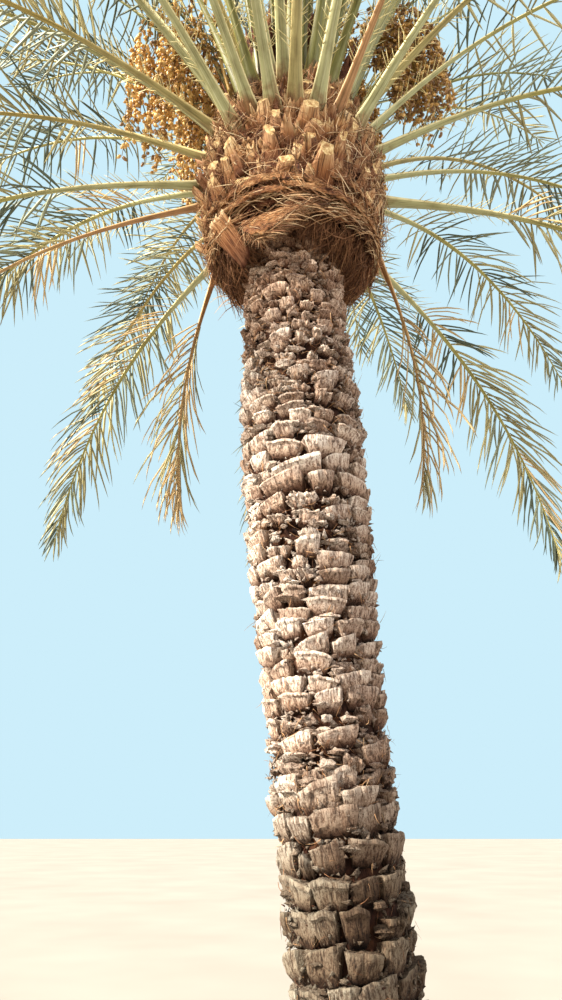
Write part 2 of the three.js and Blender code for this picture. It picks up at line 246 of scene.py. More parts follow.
# Matted fibre: reddish brown threads that run down the stem. The near-black parts of their pattern are
# painted shade, where threads lie deep.
fibre_material, tree, spot = new_material("matted palm fibre")
drawn = node(tree, "Mapping", {"Vector": spot, "Scale": (1, 1, 0.16)})
threads = node(tree, "TexNoise", {"Vector": drawn, "Scale": 210, "Detail": 5, "Roughness": 0.7})
patches = node(tree, "TexNoise", {"Vector": spot, "Scale": 12, "Detail": 4})
height = node(tree, "SeparateXYZ", {0: spot}).outputs[2]
below_boot = node(tree, "MapRange", {"Value": height, "From Min": 4.3, "From Max": 4.1})
worn = node(tree, "ValToRGB", {"Fac": patches}, stops=[(0.32, "3a2318"), (0.5, "6a4230"), (0.68, "a0704e")])
fibres = tinted(
    tree,
    worn,
    (0.8, threads, [(0.35, "2c1a12"), (0.52, "ffffff"), (0.7, "ffe2c2")]),
    (below_boot, "88807a"),
)
finish_material(tree, fibres, (threads, 0.9, 0.008), rough=0.88, shine=0.2)

TRUNK_TOP, CORE_SINK = 4.6, 0.062
CORE_COLUMNS, CORE_RINGS = 72, 110
points = []
for r in range(CORE_RINGS + 1):
    height = TRUNK_TOP * r / CORE_RINGS
    radius = trunk_radius(height) - CORE_SINK
    for angle in circle(CORE_COLUMNS):
        points.append((trunk_centre(height) + radius * math.cos(angle), radius * math.sin(angle), height))
faces = ring_faces(CORE_RINGS + 1, CORE_COLUMNS)
tufts = {"depth": 0.07, "grain": 0.035, "upright": 0.5, "seed": 1.0, "crease": 1.0}
core = rough_mesh("trunk_core", points, faces, fibre_material, **tufts)
on_ground(core)
add_piece(core, "bark", "trunk")


# Leaf bases of the trunk: what pruning left of every old frond, a wedge of grey woody fibre cut off at
# its top. They sit in close courses that climb a little to the right, each rooted in the stem.
def mix(a, b, share):
    return a + (b - a) * share


scatter, given = new_tree("Scatter", Variants="Collection", Material="Material")
shelf = {"Collection": given["Variants"], "Separate Children": True, "Reset Children": True}
shapes = node(scatter, "GeometryNodeCollectionInfo", shelf)
turn = node(scatter, "GeometryNodeInputNamedAttribute", {"Name": "turn"}, data_type="QUATERNION")
size = node(scatter, "GeometryNodeInputNamedAttribute", {"Name": "size"}, data_type="FLOAT_VECTOR")
kind = node(scatter, "GeometryNodeInputNamedAttribute", {"Name": "kind"}, data_type="INT")
picked = {"Instance": shapes, "Pick Instance": True, "Instance Index": kind}
planted = node(
    scatter,
    "GeometryNodeInstanceOnPoints",
    {"Points": given["Geometry"], **picked, "Rotation": turn, "Scale": size},
)
finish_tree(scatter, planted, given["Material"])


def set_values(mesh, name, values, kind="FLOAT", domain="POINT"):
    """Values for each point or face of the mesh, for its material or a tree to read."""
    field = "vector" if kind == "FLOAT_VECTOR" else "value"
    mesh.attributes.new(name, kind, domain).data.foreach_set(field, values)


def scattered(name, spots, variants, material, **sizes):
    """A mesh of the variants on spots, each a (point, turn, size, kind, tone). Sizes give it relief."""
    points, turns, spans, kinds, tones = zip(*spots)
    mesh = mesh_of(name, points, [])
    set_values(mesh, "turn", [v for turn in turns for v in turn], "QUATERNION")
    set_values(mesh, "size", [v for span in spans for v in span], "FLOAT_VECTOR")
    set_values(mesh, "kind", kinds, "INT")
    set_values(mesh, "tone", tones)
    holder = in_scene(mesh)
    use_tree(holder, scatter, Variants=variants, Material=material)
    if sizes:
        roughen(holder, material, **sizes)
    return plain_mesh(holder)


def smooth_mesh(name, points, faces, **layers):
    """A smooth mesh that has a number at each point in each of these layers."""
    mesh = mesh_of(name, points, faces)
    mesh.shade_smooth()
    for label, values in layers.items():
        set_values(mesh, label, values)
    return mesh


def variant_set(name, maker, count):
    """A collection of shapes for scattering, not itself in the scene. Each keeps its own coordinates."""
    shelf = bpy.data.collections.new(name)
    for i in range(count):
        mesh = maker(i)
        places = np.empty(len(mesh.vertices) * 3)
        mesh.vertices.foreach_get("co", places)
        set_values(mesh, "own", places, "FLOAT_VECTOR")
        shelf.objects.link(bpy.data.objects.new(f"{name}_{i:02d}", mesh))
    return shelf


def turned(along, over):
    """The turn that carries X to one direction and Z as near as can be to another."""
    x = Vector(along).normalized()
    y = Vector(over).cross(x)
    y = y.normalized() if y.length > 1e-6 else x.orthogonal().normalized()
    return Matrix((x, y, x.cross(y))).transposed().to_quaternion()


def round_trunk(angle, at, radius):
    """The point at an angle and height round the trunk's axis, and the ways out and along there."""
    outward = Vector((math.cos(angle), math.sin(angle), 0))
    tangent = Vector((math.sin(angle), -math.cos(angle), 0))
    return Vector((trunk_centre(at), 0, at)) + outward * radius, outward, tangent


SOUND_STUBS, BROKEN_STUBS = 8, 5
STUB_COLUMNS = 8
# The last column runs from painted shade at a leaf base's hidden foot to pale wear and a painted highlight
# at its lip.
STUB_PROFILE = [  # outward reach, how far a ledge undercuts it, height, and painted light with pale wear of each point
    (-0.35, 0.0, 0.0, 0.0),
    (0.3, 0.0, -0.05, 0.0),
    (0.62, 0.0, 0.15, 0.2),
    (0.86, 0.07, 0.44, 0.5),
    (0.95, 0.07, 0.74, 0.7),
    (1.0, 0.0, 0.86, 0.84),
    (0.98, 0.0, 1.0, 1.0),
    (0.4, 0.0, 0.96, 0.6),
    (-0.35, 0.0, 1.0, 0.2),
]


def stub_variant(index):
    """One cut leaf base, 1 wide, deep and high, its foot tucked in and its lip standing out."""
    dice = random.Random(400 + index)
    jitter = 0.034 if index < SOUND_STUBS else 0.16
    foot = dice.uniform(0.46, 0.84)
    slope = dice.uniform(-0.22, 0.22)
    chipped = dice.choice([-1, 1])
    chip = dice.uniform(0.0, 0.5)
    bulge = [1 + dice.uniform(-jitter, jitter) for _ in range(STUB_COLUMNS + 1)]
    lift = [dice.uniform(-jitter, jitter) for _ in range(STUB_COLUMNS + 1)]
    band = dice.uniform(-0.1, 0.08)
    ledge = dice.choice([0.0, 0.0, 0.6, 1.0])
    points, wear_and_painted_light = [], []
    for c in range(STUB_COLUMNS + 1):
        across = 2 * c / STUB_COLUMNS - 1
        for reach, undercut, height, worn in STUB_PROFILE:
            reach -= undercut * ledge
            half = 0.5 * mix(foot, 1, max(0, min(height, 1)) ** 0.6)
            corner = 1 - 0.12 * abs(across) ** 6 - 0.05 * across * across
            lip = max(0, height - 0.3)
            height += band * (0.7 < height < 0.9)
            x = across * half + dice.uniform(-jitter, jitter) * 0.3
            y = (reach * corner * bulge[c] if reach > 0 else reach) + dice.uniform(-jitter, jitter) * 0.4
            z = height + lip * (lift[c] + slope * across - chip * max(0, across * chipped - 0.35))
            points.append((x, y, z))
            wear_and_painted_light.append(worn)
    return smooth_mesh("stub", points, ring_faces(STUB_COLUMNS + 1, len(STUB_PROFILE)), lip=wear_and_painted_light)


stub_shapes = variant_set("stub", stub_variant, SOUND_STUBS + BROKEN_STUBS)

# Weathered leaf base: sun-bleached cream to pinkish grey wood with dark upright cracks. Its cut lip is
# palest, partly wear and partly painted highlight, and where its foot is hidden it is dark brown, as painted
# shade. It is greener and darker low down, partly damp and partly painted shadow, redder under the crown,
# and darker on the trunk's right side, as painted shade.
stub_material, tree, spot = new_material("weathered palm leaf base")
own = node(tree, "Attribute", attribute_name="own").outputs["Vector"]
lip, tone = [node(tree, "Attribute", attribute_name=name).outputs["Fac"] for name in ("lip", "tone")]
apart = node(tree, "Math", {0: tone, 1: 60.0}, operation="MULTIPLY")
drawn = node(tree, "Mapping", {"Vector": own, "Scale": (1, 0.5, 0.07)})
grain = {"Vector": drawn, "W": apart, "Scale": 15, "Detail": 5, "Roughness": 0.68}
cracks = node(tree, "TexNoise", grain, noise_dimensions="4D")
patches = node(tree, "TexNoise", {"Vector": spot, "Scale": 13, "Detail": 5, "Roughness": 0.6})
weather = node(tree, "TexNoise", {"Vector": spot, "Scale": 2.6, "Detail": 3})
speckle = node(tree, "TexNoise", {"Vector": spot, "Scale": 130, "Detail": 4, "Roughness": 0.6})
wood = node(tree, "ValToRGB", {"Fac": patches}, stops=[(0.3, "c8bab0"), (0.45, "ece4dc"), (0.62, "fffcf6")])
wood = tinted(
    tree,
    wood,
    (0.9, tone, [(0.0, "b09c8e"), (0.3, "ddd2ca"), (0.6, "f8f4f0"), (1.0, "ffffff")]),
    # Painted shade: near-black brown where a base's foot is hidden, paling toward its lip.
    (1.0, lip, [(0.0, "301e16"), (0.25, "988074"), (0.5, "ece2da"), (0.75, "ffffff")]),
    (0.8, cracks, [(0.39, "3e2a22"), (0.46, "b49e92"), (0.52, "ffffff")]),
    (0.66, speckle, [(0.38, "846c5c"), (0.48, "ffffff")]),
    (0.8, weather, [(0.4, "e2d6cc"), (0.55, "ffffff")]),
)
# The cut lip is bleached paler, partly real wear and partly a painted highlight.
worn = node(tree, "MapRange", {"Value": lip, "From Min": 0.86, "To Max": 0.6})
patchy = node(tree, "MapRange", {"Value": patches, "From Min": 0.42, "From Max": 0.62, "To Min": 0.1})
bleached_and_highlit = node(tree, "Math", {0: worn, 1: patchy}, operation="MULTIPLY")
wood = node(tree, "Mix", {0: bleached_and_highlit, 6: wood, 7: linear("f6ecde")}, data_type="RGBA").outputs[2]
places = node(tree, "SeparateXYZ", {0: spot}).outputs
# Painted shade: the leaf bases on the right side of the leaning trunk, away from the key lamp, are darkened.
leaning = node(tree, "Math", {0: places[2], 1: -0.1, 2: places[0]}, operation="MULTIPLY_ADD")
painted_shade_right = node(tree, "MapRange", {"Value": leaning, "From Min": -0.62, "From Max": -0.12, "To Max": 0.8})
# Greyer and darker low down: partly damp, partly a painted shadow.
damp_and_shadow = node(tree, "MapRange", {"Value": places[2], "From Min": 1.7, "From Max": 1.15, "To Max": 0.95})
fresh = node(tree, "MapRange", {"Value": places[2], "From Min": 3.5, "From Max": 4.4, "To Max": 0.62})
wood = tinted(tree, wood, (painted_shade_right, "b8a698"), (damp_and_shadow, "a4a69e"), (fresh, "e0b48c"))
finish_material(tree, wood, (cracks, 1.0, 0.016), (speckle, 0.6, 0.005), rough=0.85, shine=0.2)

BANDS = [  # top of each band up the trunk, rise of a course, bases round, how many are crumbled, reach
    (1.42, 0.112, 9.4, 0.08, 0.1),
    (1.74, 0.082, 11.4, 0.8, 0.075),
    (2.48, 0.08, 12.0, 0.14, 0.088),
    (2.72, 0.078, 12.0, 0.7, 0.08),
    (3.12, 0.088, 10.8, 0.12, 0.095),
    (4.02, 0.064, 14.2, 0.6, 0.085),
    (4.58, 0.062, 14.0, 0.9, 0.08),
]
FOOT_COURSE = 0.12  # no base of the lowest course is taller
SLIM_FROM, SLIM = 3.0, 0.88  # from this height up the bases are narrower


def band_at(height):
    return next(b for b in BANDS if height < b[0])


dice = random.Random(7)
stubs = []
height, angle, last = -0.02, 0.4, 1.0
while height < BANDS[-1][0]:
    _, rise, around, crumbled, reach = band_at(height)
    height += rise / around
    share = dice.uniform(0.84, 1.16) if dice.random() < 0.5 else dice.uniform(0.62, 1.5)
    angle += math.pi / around * (share + last)
    last = share
    broken = dice.random() < crumbled
    if dice.random() < (0.2 if broken else 0.02):
        continue
    at = max(0.0, height + dice.uniform(-0.014, 0.014))
    spacing = math.tau * trunk_radius(at) / around
    deep = reach * (dice.uniform(0.7, 1.04) if broken else dice.uniform(0.84, 1.08))
    foot, outward, tangent = round_trunk(angle, at, trunk_radius(at) - reach)
    lean = Vector((TRUNK_LEAN + TRUNK_CURVE * at, 0, 1)).normalized()
    roll = dice.uniform(-0.16, 0.16) * (2.2 if broken else 1.1)
    tip = dice.uniform(-0.1, 0.16) * (2.2 if broken else 1.0)
    width = spacing * share * (dice.uniform(0.45, 0.8) if broken else dice.uniform(0.76, 0.98))
    if height > SLIM_FROM:
        width *= SLIM
    tall = rise * (dice.uniform(0.6, 1.1) if broken else dice.uniform(1.02, 1.3))
    if height < FOOT_COURSE:
        tall = min(tall, FOOT_COURSE)
    turn = turned(tangent + lean * (roll - 0.04), lean + outward * tip)
    kind = SOUND_STUBS + dice.randrange(BROKEN_STUBS) if broken else dice.randrange(SOUND_STUBS)
    tone = mix(dice.random(), 0.15, 0.5 if broken else 0.0)
    stubs.append((foot, turn, (width, deep, tall), kind, tone))
half = len(stubs) // 2
cracked = {"depth": 0.02, "grain": 0.02, "upright": 0.35, "seed": 3.0, "crease": 0.45}
for name, part in (("leaf_bases_lower", stubs[:half]), ("leaf_bases_upper", stubs[half:])):
    mesh = scattered(name, part, stub_shapes, stub_material, **cracked)
    on_ground(mesh)
    add_piece(mesh, "bark")


# Crumbs of the trunk: lumps of leaf base that weather has broken small. They stick in the fibre
# between the sound bases, most of all in the two rotten belts and in the upper third.
def crumb_variant(index):
    """A knobbly lump 1 across, of five rings of six points."""
    dice = random.Random(600 + index)
    points = []
    for ring, wide in ((-0.45, 0.22), (-0.22, 0.44), (0.05, 0.5), (0.3, 0.38), (0.47, 0.16)):
        for angle in circle(6):
            angle += dice.uniform(-0.25, 0.25)
            far = wide * dice.uniform(0.55, 1.25)
            points.append((far * math.cos(angle), far * math.sin(angle), ring + dice.uniform(-0.07, 0.07)))
    # The lip values rise towards the crumb's top, so the leaf base material paints its foot a little darker
    # and its top paler, as painted light.
    return smooth_mesh("crumb", points, ring_faces(5, 6), lip=[0.64 + 0.36 * (p[2] + 0.5) for p in points])


def rooted(at, radius, shallow, deep):
    """A random place round the stem at a height, sunk under a radius by a depth between these two."""
    return round_trunk(dice.uniform(0, math.tau), at, radius - dice.uniform(shallow, deep))


CRUMBS, CRUMB_SHAPES = 2300, 12
LITTER_TOP = 4.56  # loose bits lie up to this height, just inside the boot
crumb_shapes = variant_set("crumb", crumb_variant, CRUMB_SHAPES)
dice = random.Random(77)
crumbs = []
while len(crumbs) < CRUMBS:
    at = dice.uniform(0.1, LITTER_TOP)
    if dice.random() > 0.22 + band_at(at)[3]:
        continue
    point, outward, tangent = rooted(at, trunk_radius(at), 0.02, 0.066)
    across = 0.02 + 0.04 * dice.random() ** 1.6
    along = tangent + outward * dice.uniform(-0.6, 0.6)
    turn = turned(along, Vector((0, 0, 1)) + tangent * dice.uniform(-0.9, 0.9))
    size = (across * dice.uniform(1.2, 2.4), across, across * dice.uniform(0.4, 0.85))
    kind = dice.randrange(CRUMB_SHAPES)
    # Crumbs above 4 m get paler tones: painted light that lifts the shadow the boot casts on them.
    crumbs.append((point, turn, size, kind, dice.random() * 0.6 + (0.0 if at < 4.0 else 0.4)))
lumps = {"levels": 0, "depth": 0.04, "grain": 0.02, "upright": 0.7, "seed": 9.0, "crease": 0.5}
add_piece(scattered("trunk_crumbs", crumbs, crumb_shapes, stub_material, **lumps), "bark")


# Litter of the trunk: pale chips of the leaf bases and small brown flakes of rotted sheath, caught in
# every gap between them.
def flake_variant(index):
    """A bent three-cornered chip, 1 long and about as wide, with a ridge in the middle."""
    dice = random.Random(560 + index)
    tip = (1, dice.uniform(-0.2, 0.2), dice.uniform(-0.1, 0.3))
    points = [(0, -0.3, 0), (0.1, 0.34, 0.05), tip, (0.4, 0, 0.2), (0.4, 0.05, -0.15)]
    faces = [(0, 2, 3), (2, 1, 3), (1, 0, 3), (2, 0, 4), (1, 2, 4), (0, 1, 4)]
    # On chips the leaf base material reads these lip values, so the point underneath comes out a little
    # darker, as painted shade.
    return smooth_mesh("flake", points, faces, lip=[0.62, 0.7, 0.8, 0.7, 0.5])


FLAKES, CHIPS, FLAKE_SHAPES = 3000, 6000, 8
flake_shapes = variant_set("flake", flake_variant, FLAKE_SHAPES)
dice = random.Random(23)
flakes = []
for i in range(FLAKES + CHIPS):
    at = dice.uniform(0.05, LITTER_TOP)
    point, outward, tangent = rooted(at, trunk_radius(at), 0.02, 0.062)
    along = tangent * dice.uniform(-1, 1) + outward * dice.uniform(0.0, 0.4)
    along += Vector((0, 0, dice.uniform(-0.6, 0.8)))
    long = (0.012 + 0.046 * dice.random() ** 2.2) * (0.5 if i < FLAKES else 1)
    kind = dice.randrange(FLAKE_SHAPES)
    flakes.append((point, turned(along, outward), (long, long, long), kind, 0.24 * dice.random()))
chips = [(*chip[:4], 0.15 + 3 * chip[4]) for chip in flakes[FLAKES:]]
add_piece(scattered("trunk_litter", flakes[:FLAKES], flake_shapes, fibre_material), "bark")
add_piece(scattered("trunk_chips", chips, flake_shapes, stub_material), "bark")


# Shredded fibre of the trunk: stiff red-brown threads that fray from between the leaf bases and
# hang over the course below, thickest in the two rotten belts and in the upper third.
def strand_variant(index):
    """A tapering thread 1 long with a bend of its own, three-sided."""
    dice = random.Random(900 + index)
    bend_y, bend_z = dice.uniform(-0.24, 0.24), dice.uniform(-0.3, 0.08)
    points = []
    for t, thick in ((0.0, 0.009), (0.35, 0.008), (0.7, 0.006), (1.0, 0.002)):
        for angle in circle(3):
            y = bend_y * t * t + thick * math.cos(angle)
            points.append((t, y, bend_z * t * t + thick * math.sin(angle)))
    return smooth_mesh("strand", points, ring_faces(4, 3))


THREADS, STRAND_SHAPES = 4600, 8
strand_shapes = variant_set("strand", strand_variant, STRAND_SHAPES)

# Loose thread: dry plant fibre, duller and darker than the wood, with no gloss.
strand_material, tree, spot = new_material("dry palm thread")
tone = node(tree, "Attribute", attribute_name="tone").outputs["Fac"]
mottle = node(tree, "TexNoise", {"Vector": spot, "Scale": 60, "Detail": 2})
browns = [(0.0, "4c3020"), (0.4, "94694a"), (0.7, "c89e74"), (1.0, "f0dab4")]
thread = node(tree, "ValToRGB", {"Fac": tone}, stops=browns)
thread = tinted(tree, thread, (0.6, mottle, [(0.3, "a8988a"), (0.6, "ffffff")]))
finish_material(tree, thread, rough=0.8, shine=0.25)

dice = random.Random(21)
threads = []
while len(threads) < THREADS:
    at = dice.uniform(0.12, 4.55)
    if dice.random() > (0.12 if at < 3.0 else 0.4) + band_at(at)[3]:
        continue
    point, outward, tangent = rooted(at, trunk_radius(at), -0.004, 0.05)
    along = outward * dice.uniform(-0.1, 0.22) + tangent * dice.uniform(-0.9, 0.9)
    along.z = dice.uniform(-1.1, 0.35)
    long = dice.uniform(0.022, 0.066)
    stout = long * dice.uniform(1.6, 3.6)
    kind = dice.randrange(STRAND_SHAPES)
    threads.append((point, turned(along, outward), (long, stout, stout), kind, dice.random() * 0.8))
add_piece(scattered("trunk_threads", threads, strand_shapes, strand_material), "bark")


# Crown boot: the swollen head of the trunk, where the newest leaf bases are still wrapped in their
# woven brown sheaths. Its torn lower rim stands out over a dark hollow round the stem.
BOOT_CENTRE, BOOT_GIRTH, BOOT_REACH = 4.81, 0.545, 0.93
BOOT_FROM, BOOT_TO, BOOT_SINK = 4.41, 5.6, 0.05
BOOT_RINGS, BOOT_COLUMNS = 44, 112
HOLLOW = [(0.3, 4.62), (0.36, 4.54), (0.4, 4.46), (0.425, 4.4), (0.445, 4.37), (0.465, 4.375)]
# A notch in the rim: its azimuth and half width, its height, and from where it fades over what height.
NOTCH_AT, NOTCH_WIDE, NOTCH_HIGH, NOTCH_FROM, NOTCH_FADE = 250, 15, 0.055, 4.37, 0.14


def boot_radius(height):
    return BOOT_GIRTH * math.sqrt(max(0.0, 1 - ((height - BOOT_CENTRE) / BOOT_REACH) ** 2))


heights = [mix(BOOT_FROM, BOOT_TO, i / BOOT_RINGS) for i in range(BOOT_RINGS + 1)]
profile = HOLLOW + [(boot_radius(height) - BOOT_SINK, height) for height in heights]
points = []
for radius, height in profile:
    for k in range(BOOT_COLUMNS):
        angle = 360 * k / BOOT_COLUMNS
        notch = NOTCH_HIGH * math.exp(-(((angle - NOTCH_AT) / NOTCH_WIDE) ** 2))
        notch *= max(0, 1 - (height - NOTCH_FROM) / NOTCH_FADE)
        points.append(round_trunk(math.radians(angle), height + notch, radius)[0])
faces = ring_faces(len(profile), BOOT_COLUMNS)
tufts = {"depth": 0.13, "grain": 0.045, "upright": 0.4, "seed": 5.0, "crease": 1.2}
boot = rough_mesh("boot_fibre", points, faces, fibre_material, **tufts)
add_piece(boot, "leaf_base_fibre", "crown_boot")


# Pruned stalks on the boot: the bases of cut fronds, brown ribbed shafts that stand up and out of the
# fibre in a spiral. Each ends in a slanted cut whose fresh wood is pale cream.
SHAFTS, SHAFT_SHAPES, SHAFT_SIDES = 124, 8, 10
SHAFT_LOW, SHAFT_HIGH = 4.44, 5.36


def shaft_variant(index):
    """A cut stalk base 1 wide and 1 long, thinned to one edge, with a slanted pale end."""
    dice = random.Random(700 + index)
    slant = dice.uniform(0.2, 0.46)
    skew = dice.uniform(-0.22, 0.22)
    points = []
    for t, wide in ((-0.25, 2.5), (0.12, 1.9), (0.5, 1.32), (0.88, 0.86), (1.0, 0.76)):
        for angle in circle(SHAFT_SIDES):
            x = 0.5 * wide * math.cos(angle) + dice.uniform(-0.05, 0.05)
            y = 0.5 * math.sin(angle) * (1.0 if math.sin(angle) > 0 else 0.4)
            chip = dice.uniform(-0.02, 0.02) if t == 1 else 0
            points.append((x, y, t - max(0, t) * (slant * (y + 0.2) + skew * x) + chip))
    mesh = smooth_mesh("shaft", points, ring_faces(5, SHAFT_SIDES))
    mesh.polygons[-1].use_smooth = False
    set_values(mesh, "cut", [0.0] * (len(mesh.polygons) - 1) + [1.0], domain="FACE")
    return mesh


shaft_shapes = variant_set("shaft", shaft_variant, SHAFT_SHAPES)

# Cut stalk: ribbed tan skin with darker red-brown streaks, and dry cream wood where it was sawn.
shaft_material, tree, spot = new_material("pruned palm stalk")
own = node(tree, "Attribute", attribute_name="own").outputs["Vector"]
tone, cut = [node(tree, "Attribute", attribute_name=name).outputs["Fac"] for name in ("tone", "cut")]
up = node(tree, "SeparateXYZ", {0: own}).outputs[2]
apart = node(tree, "Math", {0: tone, 1: 60.0}, operation="MULTIPLY")
drawn = node(tree, "Mapping", {"Vector": own, "Scale": (1, 0.6, 0.1)})
grain = {"Vector": drawn, "W": apart, "Scale": 9, "Detail": 4, "Roughness": 0.65}
ribs = node(tree, "TexNoise", grain, noise_dimensions="4D")
tans = [(0.0, "82583a"), (0.45, "b4906a"), (0.8, "d2b488"), (1.0, "ecd8b0")]
husk = tinted(
    tree,
    node(tree, "ValToRGB", {"Fac": tone}, stops=tans),
    (0.85, ribs, [(0.38, "4a2c1c"), (0.46, "ccac88"), (0.56, "ffffff")]),
    (0.9, up, [(0.1, "86583c"), (0.42, "cca888"), (0.75, "ffffff")]),
)
rings = node(tree, "TexNoise", {"Vector": spot, "Scale": 55, "Detail": 4, "Roughness": 0.65})
wood = node(tree, "ValToRGB", {"Fac": rings}, stops=[(0.36, "9c7248"), (0.5, "ccac78"), (0.66, "eed8a8")])
sawn = node(tree, "Mix", {0: cut, 6: husk, 7: wood}, data_type="RGBA").outputs[2]
finish_material(tree, sawn, (ribs, 0.9, 0.008), rough=0.7, shine=0.3)

GOLDEN = math.pi * (3 - math.sqrt(5))
dice = random.Random(31)
shafts = []
for i in range(SHAFTS):
    share = i / (SHAFTS - 1)
    at = mix(SHAFT_LOW, SHAFT_HIGH, share)
    angle = i * GOLDEN + dice.uniform(-0.16, 0.16)
    foot, outward, tangent = round_trunk(angle, at, boot_radius(at) - dice.uniform(0.06, 0.1))
    steep = math.radians(mix(50, 74, share) + dice.uniform(-12, 12))
    heading = outward * math.cos(steep) + Vector((0, 0, math.sin(steep))) + tangent * dice.uniform(-0.5, 0.5)
    width = dice.uniform(0.05, 0.115)
    long = dice.uniform(0.12, 0.24)
    size = (width, width * dice.uniform(0.36, 0.6), long)
    shafts.append((foot, turned(tangent, heading), size, dice.randrange(SHAFT_SHAPES), dice.random()))
flutes = {"depth": 0.034, "grain": 0.016, "upright": 0.3, "seed": 4.0, "crease": 0.6}
shafts = scattered("boot_stalk_bases", shafts, shaft_shapes, shaft_material, **flutes)
add_piece(shafts, "leaf_base_fibre")


# Sheath bands: strips of woven fibre torn from old leaf bases, still wound round the boot's rim. They
# thin out to their ends, and some are bowed up in the middle.
SHEATH_BANDS = [  # azimuth from and to, height from and to, how tall, how far out, lift in the middle
    (196, 266, 4.42, 4.45, 0.06, 0.014, 0.035),
    (222, 296, 4.52, 4.47, 0.07, 0.012, 0.05),
    (262, 350, 4.49, 4.41, 0.09, 0.016, 0.02),
    (286, 342, 4.58, 4.5, 0.05, 0.008, 0.02),
    (330, 418, 4.42, 4.44, 0.09, 0.014, 0.02),
    (20, 96, 4.47, 4.42, 0.08, 0.012, 0.03),
    (78, 150, 4.42, 4.5, 0.09, 0.014, 0.0),
    (128, 206, 4.5, 4.42, 0.08, 0.012, 0.02),
    (44, 120, 4.58, 4.54, 0.05, 0.006, 0.02),
    (150, 228, 4.6, 4.52, 0.055, 0.006, 0.03),
]
BAND_STEPS, BAND_SIDES = 30, 8

# Woven sheath: tan and red-brown threads that run round the boot, with the gaps between them darkened as
# painted shade.
sheath_material, tree, spot = new_material("woven palm sheath")
drawn = node(tree, "Mapping", {"Vector": spot, "Scale": (0.16, 0.16, 1)})
weft = node(tree, "TexNoise", {"Vector": drawn, "Scale": 230, "Detail": 4, "Roughness": 0.7})
patches = node(tree, "TexNoise", {"Vector": spot, "Scale": 14, "Detail": 3})
worn = node(tree, "ValToRGB", {"Fac": patches}, stops=[(0.32, "7a5440"), (0.5, "ac845e"), (0.68, "dcbe94")])
woven = tinted(tree, worn, (0.9, weft, [(0.41, "301c12"), (0.52, "ccaa88"), (0.62, "ffffff")]))
finish_material(tree, woven, (weft, 1.0, 0.008), rough=0.85, shine=0.2)

points, faces = [], []
for n, (start, end, low, high, tall, out, lift) in enumerate(SHEATH_BANDS):
    base = len(points)
    for i in range(BAND_STEPS + 1):
        t = i / BAND_STEPS
        ends = min(1.0, 7 * t, 7 * (1 - t)) ** 0.5
        at = mix(low, high, t) + lift * math.sin(math.pi * t) + 0.006 * math.sin(9 * t + n)
        centre, outward, _ = round_trunk(math.radians(mix(start, end, t)), at, boot_radius(at) - 0.02 + out)
        for angle in circle(BAND_SIDES):
            reach = 0.011 * math.cos(angle) * (0.4 + 0.6 * ends)
            rise = 0.5 * tall * math.sin(angle) * max(0.12, ends)
            points.append(centre + outward * (reach - 0.25 * rise) + Vector((0, 0, rise)))
    faces += moved_on(ring_faces(BAND_STEPS + 1, BAND_SIDES), base, True)
weave = {"depth": 0.042, "grain": 0.013, "upright": 4.0, "seed": 6.0, "crease": 1.2}
add_piece(rough_mesh("boot_sheath_bands", points, faces, sheath_material, **weave), "leaf_base_fibre")


# Torn flap: a tongue of matted sheath that has come loose at the front left and sags below the rim. It
# is held at both ends, and a long dark slit shows above it.
FLAP_START, FLAP_END = 234, 281
FLAP_ACROSS, FLAP_DOWN = 34, 9
FLAP_THICK, FLAP_OUT = 0.007, 0.485
FLAP_EDGES = [  # share along it, height of its upper edge, and how far it hangs
    (0.0, 4.335, 0.03), (0.1, 4.325, 0.11), (0.25, 4.32, 0.165), (0.42, 4.33, 0.14),
    (0.6, 4.348, 0.09), (0.8, 4.374, 0.045), (1.0, 4.395, 0.012),
]


def sheet_faces(rows, columns):
    """Faces of a closed thin sheet, given its outer points row by row and then its inner points."""
    faces = []
    inner = rows * columns
    for i in range(rows - 1):
        for j in range(columns - 1):
            a, b = i * columns + j, (i + 1) * columns + j
            faces += [(a, b, b + 1, a + 1), (inner + a + 1, inner + b + 1, inner + b, inner + a)]
    edge = list(range(columns))
    edge += [i * columns + columns - 1 for i in range(1, rows)]
    edge += [(rows - 1) * columns + j for j in range(columns - 2, -1, -1)]
    edge += [i * columns for i in range(rows - 2, 0, -1)]
    for a, b in zip(edge, edge[1:] + edge[:1]):
        faces.append((a, b, inner + b, inner + a))
    return faces


def flap_at(share):
    """The azimuth, upper edge and hang of the flap at a share of its length."""
    before, after = next(pair for pair in zip(FLAP_EDGES, FLAP_EDGES[1:]) if share <= pair[1][0])
    between = (share - before[0]) / (after[0] - before[0])
    angle = math.radians(mix(FLAP_START, FLAP_END, share))
    return angle, mix(before[1], after[1], between), mix(before[2], after[2], between)


points = []
for thick in (0.0, FLAP_THICK):
    for i in range(FLAP_ACROSS):
        s = i / (FLAP_ACROSS - 1)
        angle, top, hang = flap_at(s)
        frayed = 0.014 * math.sin(31 * s) * math.sin(12 * s + 1)
        for j in range(FLAP_DOWN):
            t = j / (FLAP_DOWN - 1)
            at = top - (hang + frayed * hang / 0.1) * t
            out = 0.022 * t * hang / 0.118 + 0.012 * math.sin(7 * s) * t
            points.append(round_trunk(angle, at, FLAP_OUT + out - thick)[0])
faces = moved_on(sheet_faces(FLAP_ACROSS, FLAP_DOWN), 0, True)
weave = {"depth": 0.012, "grain": 0.01, "upright": 4.0, "seed": 8.0, "crease": 1.2}
add_piece(rough_mesh("boot_torn_flap", points, faces, sheath_material, **weave), "leaf_base_fibre")


